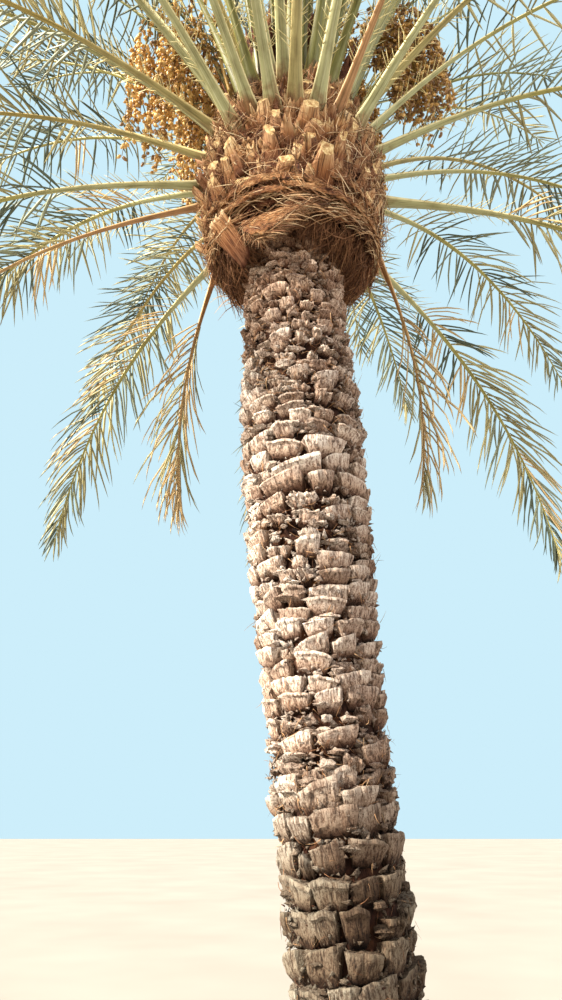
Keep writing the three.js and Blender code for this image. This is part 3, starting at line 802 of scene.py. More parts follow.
# Sheath scraps: stiff curled bits of old leaf sheath that stand up round the stalk bases, and tall dark
# tongues of woven sheath between the youngest stalks at the heart.
def scrap_variant(index):
    """A curled pointed plate, 1 wide and 1 long."""
    dice = random.Random(650 + index)
    curl = dice.uniform(0.15, 0.4)
    swing = dice.uniform(-0.3, 0.3)
    torn = [dice.uniform(-0.4, 0.15) for _ in range(4)]
    points = []
    for thick in (0.0, 0.05):
        for i in range(6):
            t = i / 5
            half = 0.5 * (1 - 0.55 * t**2)
            for j in range(4):
                x = (j / 1.5 - 1) * half
                bowed = curl * (0.25 - x * x) + 0.25 * t * t - thick
                points.append((x + swing * t * t, bowed, t + torn[j] * t**6))
    return smooth_mesh("scrap", points, sheet_faces(6, 4))


SCRAPS, TONGUES, SCRAP_SHAPES = 520, 190, 5
scrap_shapes = variant_set("scrap", scrap_variant, SCRAP_SHAPES)
dice = random.Random(66)
scraps = []
for i in range(SCRAPS):
    at = dice.uniform(SHAFT_LOW, 5.4)
    foot, outward, tangent = rooted(at, boot_radius(at), 0.03, 0.07)
    heading = Vector((0, 0, 1)) + outward * dice.uniform(0.1, 0.8) + tangent * dice.uniform(-0.9, 0.9)
    across = 0.03 + 0.07 * dice.random() ** 1.6
    size = (across, across, dice.uniform(0.05, 0.15))
    scraps.append((foot, turned(tangent, heading), size, dice.randrange(SCRAP_SHAPES), dice.random() ** 1.1))
add_piece(scattered("boot_sheath_scraps", scraps, scrap_shapes, shaft_material), "leaf_base_fibre")
dice = random.Random(68)
tongues = []
for i in range(TONGUES):
    at = dice.uniform(5.3, 5.56)
    foot, outward, tangent = round_trunk(dice.uniform(0, math.tau), at, 0.04 + 0.26 * dice.random())
    heading = Vector((0, 0, 1)) + outward * dice.uniform(0.05, 0.5) + tangent * dice.uniform(-0.25, 0.25)
    size = (dice.uniform(0.07, 0.14), dice.uniform(0.05, 0.1), dice.uniform(0.25, 0.7))
    tongues.append((foot, turned(tangent, heading), size, dice.randrange(SCRAP_SHAPES), dice.random()))
add_piece(scattered("heart_sheaths", tongues, scrap_shapes, fibre_material), "leaf_base_fibre")


# Broken sheath: one broad leaf sheath with two splinters, smooth and orange-brown, that hangs from the
# rim at the left. Its skin is tan with long red-brown streaks, bleached at the torn top.
SHEATH_PARTS = [  # azimuth at its top and its foot, height of both, width, distance from the axis at both
    (213.0, 223.5, 4.45, 4.16, 0.17, 0.512, 0.372),
    (205.0, 216.0, 4.42, 4.22, 0.06, 0.505, 0.4),
    (222.0, 229.0, 4.4, 4.2, 0.05, 0.5, 0.385),
]
SHEATH_LONG, SHEATH_ACROSS, SHEATH_THICK = 14, 13, 0.006
smooth_material, tree, spot = new_material("smooth palm sheath")
along = node(tree, "Attribute", attribute_name="along").outputs["Fac"]
own = node(tree, "Attribute", attribute_name="own").outputs["Vector"]
drawn = node(tree, "Mapping", {"Vector": own, "Scale": (1, 1, 0.07)})
streaks = node(tree, "TexNoise", {"Vector": drawn, "Scale": 130, "Detail": 4, "Roughness": 0.6})
tans = [(0.0, "ecd8b4"), (0.12, "b48c64"), (0.5, "966a48"), (1.0, "5c3826")]
smooth = tinted(
    tree,
    node(tree, "ValToRGB", {"Fac": along}, stops=tans),
    (0.85, streaks, [(0.36, "5a3a28"), (0.47, "c8a888"), (0.56, "ffffff")]),
)
finish_material(tree, smooth, (streaks, 0.8, 0.004), rough=0.8, shine=0.25)

points, faces, down, own = [], [], [], []
for n, (from_angle, to_angle, top, foot, across, out_top, out_foot) in enumerate(SHEATH_PARTS):
    dice = random.Random(930 + n)
    base = len(points)
    torn = [dice.uniform(-0.04, 0.016) for _ in range(SHEATH_ACROSS)]
    snapped = [dice.uniform(-0.03, 0.05) for _ in range(SHEATH_ACROSS)]
    for thick in (0.0, SHEATH_THICK):
        for i in range(SHEATH_LONG):
            t = i / (SHEATH_LONG - 1)
            half = 0.5 * across * (1 - 0.5 * t) * math.sqrt(1 - 0.7 * t**5)
            for j in range(SHEATH_ACROSS):
                u = 2 * j / (SHEATH_ACROSS - 1) - 1
                at = mix(top, foot, t) + torn[j] * (1 - t) ** 6 + snapped[j] * t**6
                ribbed = 0.0035 * math.sin(2.9 * j + n) * math.sin(math.pi * min(1, 0.2 + t))
                reach = mix(out_top, out_foot, t**1.2) + 0.28 * half * (1 - u * u) + ribbed - thick
                middle, _, tangent = round_trunk(math.radians(mix(from_angle, to_angle, t)), at, reach)
                points.append(middle - tangent * (half * u))
                down.append(t)
                own += [half * u, n * 0.3, t * (top - foot)]
    faces += moved_on(sheet_faces(SHEATH_LONG, SHEATH_ACROSS), base)
sheath = smooth_mesh("boot_broken_sheath", points, faces, along=down)
set_values(sheath, "own", own, "FLOAT_VECTOR")
sheath.materials.append(smooth_material)
add_piece(sheath, "leaf_base_fibre")


# Woven threads of the boot: the sheaths' loose fibres, crossing each other over the whole head,
# combed along the rim, hanging in a hairy hood below it and fraying from the flap.
HEAD_THREADS, RIM_THREADS, HOOD_THREADS = 6200, 2800, 3800
HEM_THREADS, FACE_THREADS, STRAY_THREADS = 420, 320, 110
SLIT_FROM, SLIT_TO, SLIT_UNDER = 226, 276, 4.44  # azimuths and top of the slit, which no rim thread crosses


def boot_thread(angle, at, radius, way, long, dark):
    """One thread rooted at an angle, height and radius, running by shares along, out and up."""
    point, outward, tangent = round_trunk(angle, at, radius)
    along = tangent * way[0] + outward * way[1] + Vector((0, 0, way[2]))
    stout = long * dice.uniform(1.1, 3.0)
    kind = dice.randrange(STRAND_SHAPES)
    return point, turned(along, outward), (long, stout, stout), kind, dice.random() * dark


def flap_spot(end, low, high):
    """A share along the flap, and the azimuth and height of a point between two shares of its hang."""
    s = dice.uniform(0.02, end)
    angle, top, hang = flap_at(s)
    return s, angle, top - hang * dice.uniform(low, high)


dice = random.Random(47)
head, rim = [], []
for i in range(HEAD_THREADS):
    at = mix(4.42, 5.52, dice.random() ** 1.1)
    way = (dice.choice([-1, 1]) * dice.uniform(0.15, 1), dice.uniform(0.0, 0.3), dice.uniform(0.0, 1.0))
    radius = boot_radius(at) - dice.uniform(-0.022, 0.055)
    head.append(boot_thread(dice.uniform(0, math.tau), at, radius, way, dice.uniform(0.05, 0.14), 1))
for i in range(RIM_THREADS):
    way = (dice.choice([-1, 1]), dice.uniform(-0.1, 0.2), dice.uniform(-0.3, 0.25))
    at = dice.uniform(4.35, 4.5)
    radius = dice.uniform(0.45, 0.5)
    angle = dice.uniform(0, math.tau)
    if at > SLIT_UNDER or not SLIT_FROM < math.degrees(angle) < SLIT_TO:
        rim.append(boot_thread(angle, at, radius, way, dice.uniform(0.08, 0.2), 0.95))
for i in range(HOOD_THREADS):
    angle = dice.uniform(0, math.tau)
    front = math.exp(-((math.degrees(angle) - 262) / 34) ** 2)
    at = dice.uniform(4.32, 4.44)
    radius = dice.uniform(0.31, 0.44)
    way = (dice.uniform(-0.8, 0.8), dice.uniform(-0.75, 0.0), -1)
    rim.append(boot_thread(angle, at, radius, way, dice.uniform(0.05, 0.2) * (1 - 0.62 * front), 0.5))
for i in range(HEM_THREADS):
    _, angle, at = flap_spot(0.9, 0.6, 1.0)
    way = (dice.uniform(-1.0, 0.4), dice.uniform(-0.1, 0.3), -dice.uniform(0.2, 0.9))
    rim.append(boot_thread(angle, at, 0.492, way, dice.uniform(0.03, 0.09), 0.9))
for i in range(FACE_THREADS):
    _, angle, at = flap_spot(0.95, 0.0, 0.95)
    way = (dice.choice([-1, 1]), dice.uniform(-0.05, 0.12), dice.uniform(-0.35, 0.2))
    rim.append(boot_thread(angle, at, 0.486, way, dice.uniform(0.03, 0.1), 0.95))
for i in range(STRAY_THREADS):
    s, angle, at = flap_spot(0.8, 0.82, 1.05)
    way = (-1, dice.uniform(0.0, 0.1), 0.9 * (s - 0.25) + dice.uniform(-0.12, 0.12))
    rim.append(boot_thread(angle, at, 0.5, way, dice.uniform(0.06, 0.16), 1.0))
add_piece(scattered("boot_threads", head, strand_shapes, strand_material), "leaf_base_fibre")
add_piece(scattered("rim_threads", rim, strand_shapes, strand_material), "leaf_base_fibre")


# Fronds: each is a stalk that leaves the boot in a broad grooved base, arches over and thins to its
# tip. The oldest hang brown at the bottom, and the youngest stand in the middle.
TIERS = [  # name, seat, rise, droop, length, sag of the leaflets, azimuths
    ("withered", 4.6, -67, 30, 1.65, 0.9, [16, 150]),
    ("hanging", 4.89, -4, 72, 3.05, 0.5, [172, 189, 4, 46, 92, 132]),
    ("front", 5.07, 42, 62, 3.3, 0.2, [228, 243, 257, 271, 285, 299, 316]),
    ("spreading", 5.19, 28, 74, 3.3, 0.34, [-5, 21, 44, 70, 90, 122, 148, 180, 206]),
    ("arching", 5.31, 44, 66, 3.45, 0.22, [-28, -10, 33, 77, 117, 154, 190, 212, 264]),
    ("rising", 5.43, 60, 52, 3.3, 0.12, [-40, 33, 77, 117, 154, 196, 230, 290]),
    ("heart", 5.54, 76, 30, 2.9, 0.05, [26, 83, 158, 236, 308]),
    ("young", 5.5, 68, 36, 2.35, 0.04, [-58, -16, 12, 52, 66, 98, 128, 178, 212, 244, 263, 278, 294]),
    ("inner", 5.42, 57, 46, 2.45, 0.08, [236, 252, 269, 285, 303, 322, 20, 108, 164]),
    ("furled", 5.65, 80, 18, 2.1, 0.0, [10, 40, 74, 101, 131, 166, 193, 222, 248, 270, 291, 314, 340]),
]
LEAF_START = 0.25  # share of the stalk where leaflets begin
LEAFY_FROM = {"young": 0.42, "inner": 0.42, "furled": 0.5}  # the same in tiers that have no solids
DRY = {"frond_withered_1", "frond_withered_2", "frond_hanging_1", "frond_front_6"}
FINE = 200  # steps along every stalk's line


def chance(index, salt):
    """A repeatable number from 0 to 1 for one frond, a different one for each salt."""
    wave = math.sin(index * 12.9898 + salt * 78.233) * 43758.5453
    return wave - math.floor(wave)


def stalk_line(seat, azimuth, rise, droop, length, sway, bend):
    """Points of an arching stalk at even steps, each with its heading and the two ways across it."""
    x = trunk_centre(seat) + boot_radius(seat) * math.cos(azimuth)
    point = Vector((x, boot_radius(seat) * math.sin(azimuth), seat))
    line = []
    for i in range(FINE + 1):
        turn = azimuth + sway * (i / FINE)
        pitch = rise - droop * bend(i / FINE)
        flat = math.cos(pitch)
        heading = Vector((math.cos(turn) * flat, math.sin(turn) * flat, math.sin(pitch)))
        side = Vector((-math.sin(turn), math.cos(turn), 0))
        line.append((point.copy(), heading, side, heading.cross(side)))
        point = point + heading * (length / FINE)
    return line


fronds = []
for tier, seat, rise, droop, length, sag, azimuths in TIERS:
    for n, azimuth in enumerate(azimuths):
        i = len(fronds)
        label = f"frond_{tier}_{n + 1}"
        real_length = length * (1 + 0.06 * (2 * chance(i, 3) - 1))
        line = stalk_line(
            seat,
            math.radians(azimuth),
            math.radians(rise + 4 * (2 * chance(i, 2) - 1)),
            math.radians(droop),
            real_length,
            math.radians(7 * (2 * chance(i, 4) - 1)),
            lambda share: share**1.35,
        )
        nodes = [label + "_inner", label + "_outer"] if tier == "hanging" else [label]
        frond = {"index": i, "tier": tier, "label": label, "line": line, "length": real_length, "sag": sag}
        frond["leafy_from"] = LEAFY_FROM.get(tier, LEAF_START)
        frond["nodes"] = [] if tier in LEAFY_FROM else nodes
        fronds.append(frond)

RIB_SECTION = [  # across and over, for a stalk 1 wide and deep: a groove above, thin margins, a keel
    (-0.5, 0.02), (-0.5, 0.18), (-0.4, 0.26), (-0.2, 0.1), (0.2, 0.1), (0.4, 0.26), (0.5, 0.18), (0.5, 0.02),
    (0.41, -0.14), (0.22, -0.3), (0.0, -0.5), (-0.22, -0.3), (-0.41, -0.14),
]
RIB_SHARES = [-0.045, 0.0, 0.02, 0.05, 0.1, 0.16, 0.22] + [mix(0.27, 1.0, k / 26) for k in range(27)]
RIB_WIDE, RIB_DEEP = (0.072, 0.04, 0.008), (0.054, 0.03, 0.006)  # at the seat, the first leaflets, the tip


def rib_size(share, sizes):
    seat, leaf_start, tip = sizes
    if share < LEAF_START:
        return mix(seat, leaf_start, share / LEAF_START)
    return mix(leaf_start, tip, (share - LEAF_START) / (1 - LEAF_START))


def rib_mesh(name, group, material):
    """The stalks of a group of fronds, each sunk a little into the boot behind its seat."""
    points, faces, edge, along, own = [], [], [], [], []
    for frond in group:
        base = len(points)
        girth = 0.7 if frond["label"] in DRY else mix(0.84, 1.04, chance(frond["index"], 6))
        for share in RIB_SHARES:
            point, heading, side, over = frond["line"][max(0, round(share * FINE))]
            if share < 0:
                point = point + heading * share * frond["length"]
            flare = 0.034 * math.exp(-max(share, 0) / 0.03)
            wide = girth * rib_size(max(share, 0), RIB_WIDE) + flare
            deep = girth * rib_size(max(share, 0), RIB_DEEP)
            for x, y in RIB_SECTION:
                points.append(point + side * (x * wide) + over * (y * deep))
                edge.append(abs(2 * x))
                along.append(max(0.0, share))
                own += [x * wide, y * deep, frond["index"] + share * frond["length"]]
        faces += moved_on(ring_faces(len(RIB_SHARES), len(RIB_SECTION)), base, True)
    mesh = smooth_mesh(name, points, faces, edge=edge, along=along)
    set_values(mesh, "own", own, "FLOAT_VECTOR")
    mesh.materials.append(material)
    return mesh


def rib_material(name, base, stalk, leafy, margin):
    """Smooth waxy skin: brown at the foot, the stalk's colour, then the leafy part's, with pale margins."""
    material, tree, spot = new_material(name)
    edge = node(tree, "Attribute", attribute_name="edge").outputs["Fac"]
    along = node(tree, "Attribute", attribute_name="along").outputs["Fac"]
    own = node(tree, "Attribute", attribute_name="own").outputs["Vector"]
    blotch = node(tree, "TexNoise", {"Vector": spot, "Scale": 9, "Detail": 5, "Roughness": 0.6})
    drawn = node(tree, "Mapping", {"Vector": own, "Scale": (1, 1, 0.03)})
    grain = node(tree, "TexNoise", {"Vector": drawn, "Scale": 150, "Detail": 4, "Roughness": 0.6})
    shifted = node(tree, "Math", {0: blotch, 1: 0.12, 2: along}, operation="MULTIPLY_ADD")
    zones = [(0.05, base), (0.09, stalk), (0.3, stalk), (0.42, leafy)]
    skin = tinted(
        tree,
        node(tree, "ValToRGB", {"Fac": shifted}, stops=zones),
        # Painted shade: the groove and the concave flanks either side of the keel are darkened, leaving the
        # keel as a lighter line.
        (0.8, edge, [(0.0, "ffffff"), (0.3, "cfd0bc"), (0.8, "ecebdc")]),
        (0.7, grain, [(0.36, "a9a587"), (0.5, "ffffff")]),
    )
    rim = node(tree, "ValToRGB", {"Fac": edge}, stops=[(0.84, "000000"), (0.95, "e0e0e0")])
    skin = node(tree, "Mix", {0: rim, 6: skin, 7: linear(margin)}, data_type="RGBA").outputs[2]
    skin = tinted(tree, skin, (0.7, blotch, [(0.3, "cfc8b8"), (0.55, "ffffff")]))
    finish_material(tree, skin, (grain, 0.25, 0.003), rough=0.48, shine=0.4)
    return material


LOOKS = {  # living skin is grey-green with yellow margins, dry skin brown
    "green": rib_material("living palm stalk", "94683e", "b4b48c", "aea864", "f4eab8"),
    "khaki": rib_material("ageing palm stalk", "8c6038", "aa9e6c", "ac9a58", "ead8a0"),
    "dry": rib_material("dry palm stalk", "8f5c38", "b68a62", "c4a070", "dcb888"),
    # A darker copy of the living skin: painted shade for the stalks of the inner fronds that stand behind
    # the others.
    "young": rib_material("young palm stalk", "64442c", "80814c", "868642", "b4ac6c"),
}


def look_of(frond):
    # Most fronds of the heart and the young, inner and furled tiers take the darker skin, as painted shade.
    if (frond["tier"] == "heart" or frond["tier"] in LEAFY_FROM) and chance(frond["index"], 12) < 0.8:
        return "young"
    if frond["label"] in DRY:
        return "dry"
    return "khaki" if chance(frond["index"], 11) < 0.42 else "green"


for tier, *_ in TIERS:
    for look, material in LOOKS.items():
        group = [f for f in fronds if f["tier"] == tier and look_of(f) == look]
        if group:
            mesh = rib_mesh(f"stalks_{tier}_{look}", group, material)
            add_piece(mesh, "frond", *[n for f in group for n in f["nodes"]])


# Leaflets: stiff folded blades in two ranks along each stalk, set in several planes so that a frond
# looks bristly. They are green on young fronds, olive to straw on old ones, and droop with age.
LEAF_STATIONS = [(0.0, 0.5), (0.2, 1.0), (0.58, 0.86), (0.86, 0.45)]
LEAF_BOWS, LEAF_FOLDS = (0.012, 0.045, 0.09), (0.011, 0.006)


def leaflet_variant(index):
    """A folded blade 1 long and 1 wide, arched over its chord by the amount the index gives."""
    bow = LEAF_BOWS[index % len(LEAF_BOWS)]
    fold = LEAF_FOLDS[index // len(LEAF_BOWS)]
    points = []
    for t, wide in LEAF_STATIONS:
        z = bow * 4 * t * (1 - t)
        points += [(t, -0.5 * wide, z + fold), (t, 0, z - fold * 0.9)]
        points += [(t, 0.5 * wide, z + fold), (t, 0, z - fold * 0.2)]
    last = len(points) - 4
    faces = ring_faces(len(LEAF_STATIONS), 4)[:-1]
    faces += [(last + k, last + (k + 1) % 4, last + 4) for k in range(4)]
    return smooth_mesh("leaflet", points + [(1, 0, 0)], faces)


def leaf_material(name, colour):
    """A waxy leaf blade of one base colour, with a faint grain along it in gloss and relief."""
    material, tree, spot = new_material(name)
    grain = node(tree, "TexNoise", {"Vector": spot, "Scale": 240, "Detail": 2})
    gloss = node(tree, "MapRange", {"Value": grain, "To Min": 0.44, "To Max": 0.62})
    finish_material(tree, linear(colour), (grain, 0.2, 0.001), rough=gloss, shine=0.35)
    return material


LEAF_COLOURS = {
    "deep_green": "566050",
    "grey_green": "868c76",
    "olive": "958e66",
    "yellow_green": "b8b082",
    "straw": "c8ae80",
}
SHARES = {  # how often a spray of each kind of frond takes each colour, in the order above
    "withered": (0.0, 0.0, 0.1, 0.25, 0.65),
    "hanging": (0.22, 0.26, 0.26, 0.16, 0.1),
    "front": (0.3, 0.36, 0.2, 0.12, 0.02),
    "spreading": (0.28, 0.3, 0.24, 0.14, 0.04),
    "arching": (0.32, 0.34, 0.2, 0.13, 0.01),
    "rising": (0.34, 0.36, 0.16, 0.14, 0.0),
    "heart": (0.3, 0.36, 0.1, 0.24, 0.0),
    "young": (0.3, 0.3, 0.1, 0.3, 0.0),
    "inner": (0.34, 0.32, 0.14, 0.2, 0.0),
    "furled": (0.3, 0.4, 0.1, 0.2, 0.0),
}
LONGEST_BLADE = 0.53
OLD_PITCH, YOUNG_PITCH = 0.036, 0.05  # distance between leaflets of a rank
SPRAY = 5  # neighbours that share a colour
PLANES = (46, 22, 2, 30, -8)  # degrees that neighbours are raised by
leaflet_shapes = variant_set("leaflet", leaflet_variant, len(LEAF_BOWS) * len(LEAF_FOLDS))
blades = {colour: [] for colour in LEAF_COLOURS}
for frond in fronds:
    dice = random.Random(1000 + frond["index"])
    tier, leafy_from = frond["tier"], frond["leafy_from"]
    pitch = OLD_PITCH if tier in ("withered", "hanging", "front", "spreading") else YOUNG_PITCH
    if tier != "hanging":
        pitch *= mix(0.94, 1.45, max(0, frond["line"][0][2].y))
    pairs = round(frond["length"] * (1 - leafy_from) / pitch)
    droops = frond["sag"] * dice.uniform(0.85, 1.25)
    for sign in (-1, 1):
        for i in range(pairs):
            if i % SPRAY == 0:
                colour = dice.choices(list(LEAF_COLOURS), SHARES[tier])[0]
            along = (i + dice.uniform(0.1, 0.9)) / pairs
            share = mix(leafy_from, 0.985, along)
            point, heading, side, over = frond["line"][round(share * FINE)]
            length = LONGEST_BLADE * math.sin(math.pi * mix(0.2, 0.88, along)) * dice.uniform(0.8, 1.06)
            sweep = math.radians(mix(60, 28, along) + dice.uniform(-14, 14))
            sweep *= 0.4 if tier == "furled" else 1
            raised = math.radians(PLANES[i % len(PLANES)] + dice.uniform(-7, 7))
            sideways = side * (sign * math.sin(sweep) * math.cos(raised))
            reach = heading * math.cos(sweep)
            reach += sideways + over * (math.sin(sweep) * math.sin(raised))
            reach.z -= droops * dice.uniform(0.7, 1.3)
            reach.normalize()
            upward = over * 0.6 + Vector((0, 0, 0.5)) + side * dice.uniform(-0.7, 0.7)
            limp = min(len(LEAF_BOWS) - 1, int(dice.random() * 1.3 + droops * 3.2))
            width = dice.uniform(0.013, 0.021) * (0.75 if tier == "withered" else 1)
            root = point + side * (sign * rib_size(share, RIB_WIDE) * 0.42)
            kind = limp + len(LEAF_BOWS) * dice.randrange(len(LEAF_FOLDS))
            size = (length, width, length)
            blades[colour].append((root, turned(reach, upward), size, kind, dice.random()))
for colour, spots in blades.items():
    material = leaf_material(colour.replace("_", " ") + " palm leaflet", LEAF_COLOURS[colour])
    add_piece(scattered(f"leaflets_{colour}", spots, leaflet_shapes, material), "frond")


# Spines: the lowest leaflets of a frond are hard straight thorns along the bare stalk's margins. The
# withered fronds have lost theirs.
def spine_variant(_):
    """A straight three-sided thorn 1 long, the only shape of its set."""
    points = []
    for t, thick in ((0, 0.045), (0.6, 0.028), (1, 0.004)):
        points += [(t, thick * math.cos(a), thick * math.sin(a)) for a in (0.0, 2.1, 4.2)]
    return smooth_mesh("spine", points, ring_faces(3, 3))


SPINES, SPINE_THICK = 14, 0.07
spine_shapes = variant_set("spine", spine_variant, 1)
spots = []
for frond in fronds:
    dice = random.Random(3000 + frond["index"])
    if frond["tier"] == "withered":
        continue
    for sign in (-1, 1):
        for i in range(SPINES):
            share = mix(0.07, frond["leafy_from"], (i + dice.random()) / SPINES)
            point, heading, side, over = frond["line"][round(share * FINE)]
            reach = heading * dice.uniform(0.5, 1.0) + side * (sign * dice.uniform(0.6, 1))
            reach += over * dice.uniform(-0.1, 0.6)
            root = point + side * (sign * rib_size(share, RIB_WIDE) * 0.45)
            long = dice.uniform(0.06, 0.14) * mix(0.7, 1.3, i / SPINES)
            spots.append((root, turned(reach, over), (long, SPINE_THICK, SPINE_THICK), 0, dice.random()))
spines = scattered("stalk_spines", spots, spine_shapes, leaf_material("palm spine", "dccf98"))
add_piece(spines, "frond")


# Spear: the youngest leaf, still folded shut. It is a ribbed rod of pale green blades pressed together,
# and it stands straight up from the heart.
SPEAR_COLUMNS = 24
SPEAR_RINGS = [  # height and radius
    (5.5, 0.05), (5.62, 0.058), (6.2, 0.06), (6.77, 0.05), (7.4, 0.032), (7.95, 0.014), (8.17, 0.004),
]
points = []
for height, radius in SPEAR_RINGS:
    for k, angle in enumerate(circle(SPEAR_COLUMNS)):
        angle += height * 0.3
        reach = radius * (1.0 if k % 2 else 0.8)
        points.append((trunk_centre(height) + reach * math.cos(angle), reach * math.sin(angle), height))
spear = smooth_mesh("spear_leaf_folded", points, ring_faces(len(SPEAR_RINGS), SPEAR_COLUMNS))
spear.materials.append(leaf_material("folded young palm leaf", "b9b873"))
add_piece(spear, "frond", "spear_leaf")


# Date bunches: a flat yellow stalk arches out between the fronds and hangs under its fruit. Thin
# strands spread from its end, and each is strung with ripening dates, golden to brown.
BUNCH_AZIMUTHS = [11, 56, 98, 136, 172]
BUNCH_SEAT, BUNCH_RISE, BUNCH_DROOP, BUNCH_LENGTH = 5.54, math.radians(77), math.radians(163), 2.35
BEND_FROM, BEND_OVER = 0.32, 0.28
STALK_STEPS, STALK_END = 40, 0.62
STRAND_STEPS, STRAND_THICK = 13, 0.0024
BARE, DATE_PITCH = 0.06, 0.028
DATE_SIDES, DATE_SHAPES = 6, 2
DATE_COLOURS = {"golden": "e4bc78", "ochre": "c69c5c", "brown": "8e6c46"}


def bunch_bend(share):
    t = max(0.0, min(1.0, (share - BEND_FROM) / BEND_OVER))
    return t * t * (3 - 2 * t)


def tube(points, faces, path, radii, sides, flat=1.0):
    """Adds a closed tube along a path of (point, side, over)."""
    base = len(points)
    for (point, side, over), radius in zip(path, radii):
        for angle in circle(sides):
            aside = side * (radius * math.cos(angle))
            points.append(point + aside + over * (radius * flat * math.sin(angle)))
    faces += moved_on(ring_faces(len(path), sides), base)


def date_variant(index):
    """A date 1 long and 1 wide, blunt at its cap and a little pointed at its end."""
    points = []
    for t, radius in ((0.0, 0.26), (0.2, 0.46), (0.62, 0.48), (0.96, 0.17)):
        for angle in circle(DATE_SIDES):
            y, z = radius * math.cos(angle + index), radius * math.sin(angle + index)
            points.append((t, y, z * (1.0 - 0.06 * index)))
    return smooth_mesh("date", points, ring_faces(4, DATE_SIDES))


date_shapes = variant_set("date", date_variant, DATE_SHAPES)
dates = {colour: [] for colour in DATE_COLOURS}
points, faces = [], []
for b, azimuth in enumerate(BUNCH_AZIMUTHS):
    # The first bunch is the ripest and densest, with small dark dates.
    ripest = b == 0
    dice = random.Random(5000 + b)
    heading = math.radians(azimuth)
    line = stalk_line(BUNCH_SEAT, heading, BUNCH_RISE, BUNCH_DROOP, BUNCH_LENGTH, 0.0, bunch_bend)
    stalk = [line[round(k / STALK_STEPS * STALK_END * FINE)] for k in range(STALK_STEPS + 1)]
    path = [(point, side, over) for point, heading, side, over in stalk]
    path[0] = (stalk[0][0] - stalk[0][1] * 0.12, *path[0][1:])
    tube(points, faces, path, [mix(0.026, 0.014, k / STALK_STEPS) for k in range(STALK_STEPS + 1)], 8, 0.55)
    for s in range(104 if ripest else 54):
        start = dice.uniform(0.27, 0.5)
        end = dice.uniform(0.62, 0.84) if ripest else dice.uniform(0.66, 0.95)
        spin = dice.uniform(0, math.tau)
        spread = 0.23 * math.sqrt(dice.uniform(0.03, 1))
        wander = dice.uniform(-0.7, 0.7)
        strand = []
        for k in range(STRAND_STEPS + 1):
            t = k / STRAND_STEPS
            point, heading, side, over = line[round(mix(start, end, t) * FINE)]
            out = spread * min(1, t * 6) ** 0.5
            around = spin + wander * t
            point = point + side * (out * math.cos(around)) + over * (out * math.sin(around))
            strand.append((point, side, over))
        tube(points, faces, strand, [STRAND_THICK] * (STRAND_STEPS + 1), 3)
        room = (end - start) * BUNCH_LENGTH * (1 - BARE) / DATE_PITCH
        for k in range(int(room)):
            t = BARE + (1 - BARE) * (k + dice.random()) / room
            point, side, over = strand[round(t * STRAND_STEPS)]
            lean_to = side * dice.uniform(-1, 1) + over * dice.uniform(-1, 1) + Vector((0, 0, -0.7))
            long = dice.uniform(0.028, 0.038) if ripest else dice.uniform(0.032, 0.042)
            colour = dice.choices(list(DATE_COLOURS), (0.08, 0.32, 0.6) if ripest else (0.4, 0.36, 0.24))[0]
            jitter = Vector([dice.uniform(-0.012, 0.012) for _ in range(3)])
            wide = long * dice.uniform(0.58, 0.68)
            kind = dice.randrange(DATE_SHAPES)
            dates[colour].append((point + jitter, turned(lean_to, side), (long, wide, wide), kind, 0.5))
count = len(points)
stalks = smooth_mesh("bunch_stalks", points, faces, along=[0.3] * count, edge=[0.5] * count)
set_values(stalks, "own", [v for p in points for v in p], "FLOAT_VECTOR")
stalks.materials.append(rib_material("date bunch stalk", "b08a4a", "c9a558", "cfa24e", "d8b86c"))
add_piece(stalks, "fruit", *[f"date_bunch_{b + 1}" for b in range(len(BUNCH_AZIMUTHS))])
for colour, spots in dates.items():
    # Ripening date: a smooth skin with a soft waxy gloss, one colour to each fruit.
    material, tree, spot = new_material(f"{colour} date skin")
    wrinkle = node(tree, "TexNoise", {"Vector": spot, "Scale": 180, "Detail": 2})
    finish_material(tree, linear(DATE_COLOURS[colour]), (wrinkle, 0.3, 0.002), rough=0.36)
    add_piece(scattered(f"dates_{colour}", spots, date_shapes, material), "fruit")


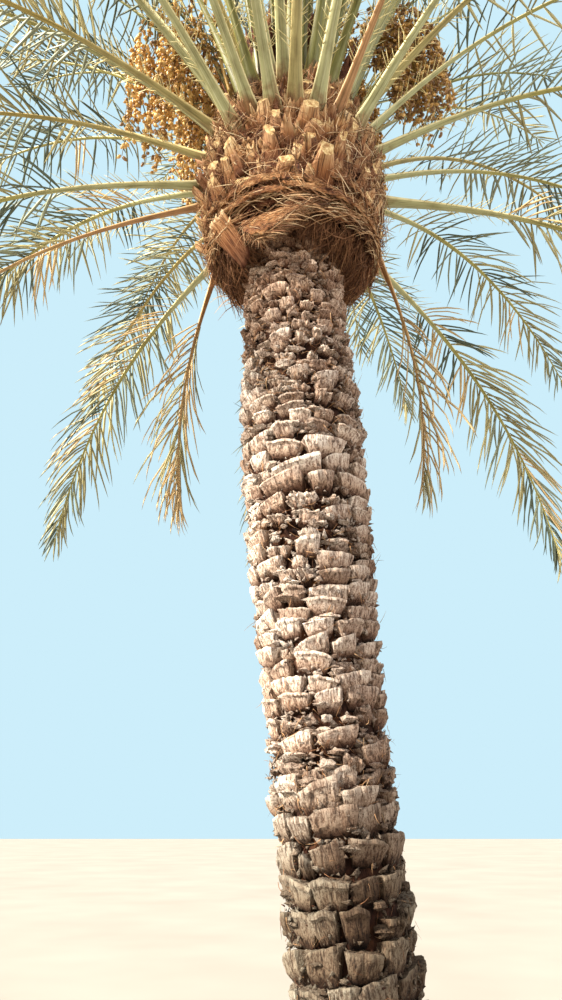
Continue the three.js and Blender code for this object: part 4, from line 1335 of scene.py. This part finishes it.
# Floor: a plain pale ground, wide enough to fill every view. It isn't part of the tree.
HALF_FLOOR = 60
floor_material, tree, spot = new_material("pale studio floor")
cloud = node(tree, "TexNoise", {"Vector": spot, "Scale": 0.6, "Detail": 2})
pale = node(tree, "ValToRGB", {"Fac": cloud}, stops=[(0.3, "97938c"), (0.7, "a09c95")])
finish_material(tree, pale, rough=0.9)
corners = [(x * HALF_FLOOR, y * HALF_FLOOR, 0) for x, y in ((-1, -1), (1, -1), (1, 1), (-1, 1))]
floor = mesh_of("floor", corners, [(0, 1, 2, 3)])
floor.materials.append(floor_material)
in_scene(floor)

# Light: a soft key lamp high on the left, as in the photograph, a weaker and much wider one on the
# right, and an even sky that is bluer where the camera sees it.
LAMPS = [  # name, strength, angle it fills in degrees, colour, and the way to it
    ("key", 14.0, 9, "fff5e4", (-0.93, -0.46, 0.6)),
    ("fill", 2.5, 60, "ffffff", (0.86, -0.5, 0.3)),
]
for name, strength, wide, colour, way in LAMPS:
    lamp = bpy.data.lights.new(name, "SUN")
    lamp.energy = strength
    lamp.angle = math.radians(wide)
    lamp.color = linear(colour)[:3]
    in_scene(lamp).rotation_euler = Vector(way).to_track_quat("Z", "Y").to_euler()
world = bpy.data.worlds.new("pale sky")
world.use_nodes = True
sky = world.node_tree
sky.nodes.clear()
glow = node(sky, "Background", {"Color": linear("f4f0ea"), "Strength": 0.69})
seen = node(sky, "Background", {"Color": linear("cdeefb"), "Strength": 1.0})
looking = node(sky, "LightPath").outputs["Is Camera Ray"]
node(sky, "OutputWorld", {"Surface": node(sky, "MixShader", {0: looking, 1: glow, 2: seen})})
bpy.context.scene.world = world
bpy.context.scene.view_settings.view_transform = "Standard"

# Camera: at an adult's chest height, 3.5 m in front of the trunk and tilted up 23 degrees.
lens = bpy.data.cameras.new("camera")
lens.lens = 27.07
lens.sensor_width = 36
camera = in_scene(lens)
camera.location = (-0.387, -3.5, 1.4)
camera.rotation_euler = (math.radians(90 + 23), 0, 0)
bpy.context.scene.camera = camera
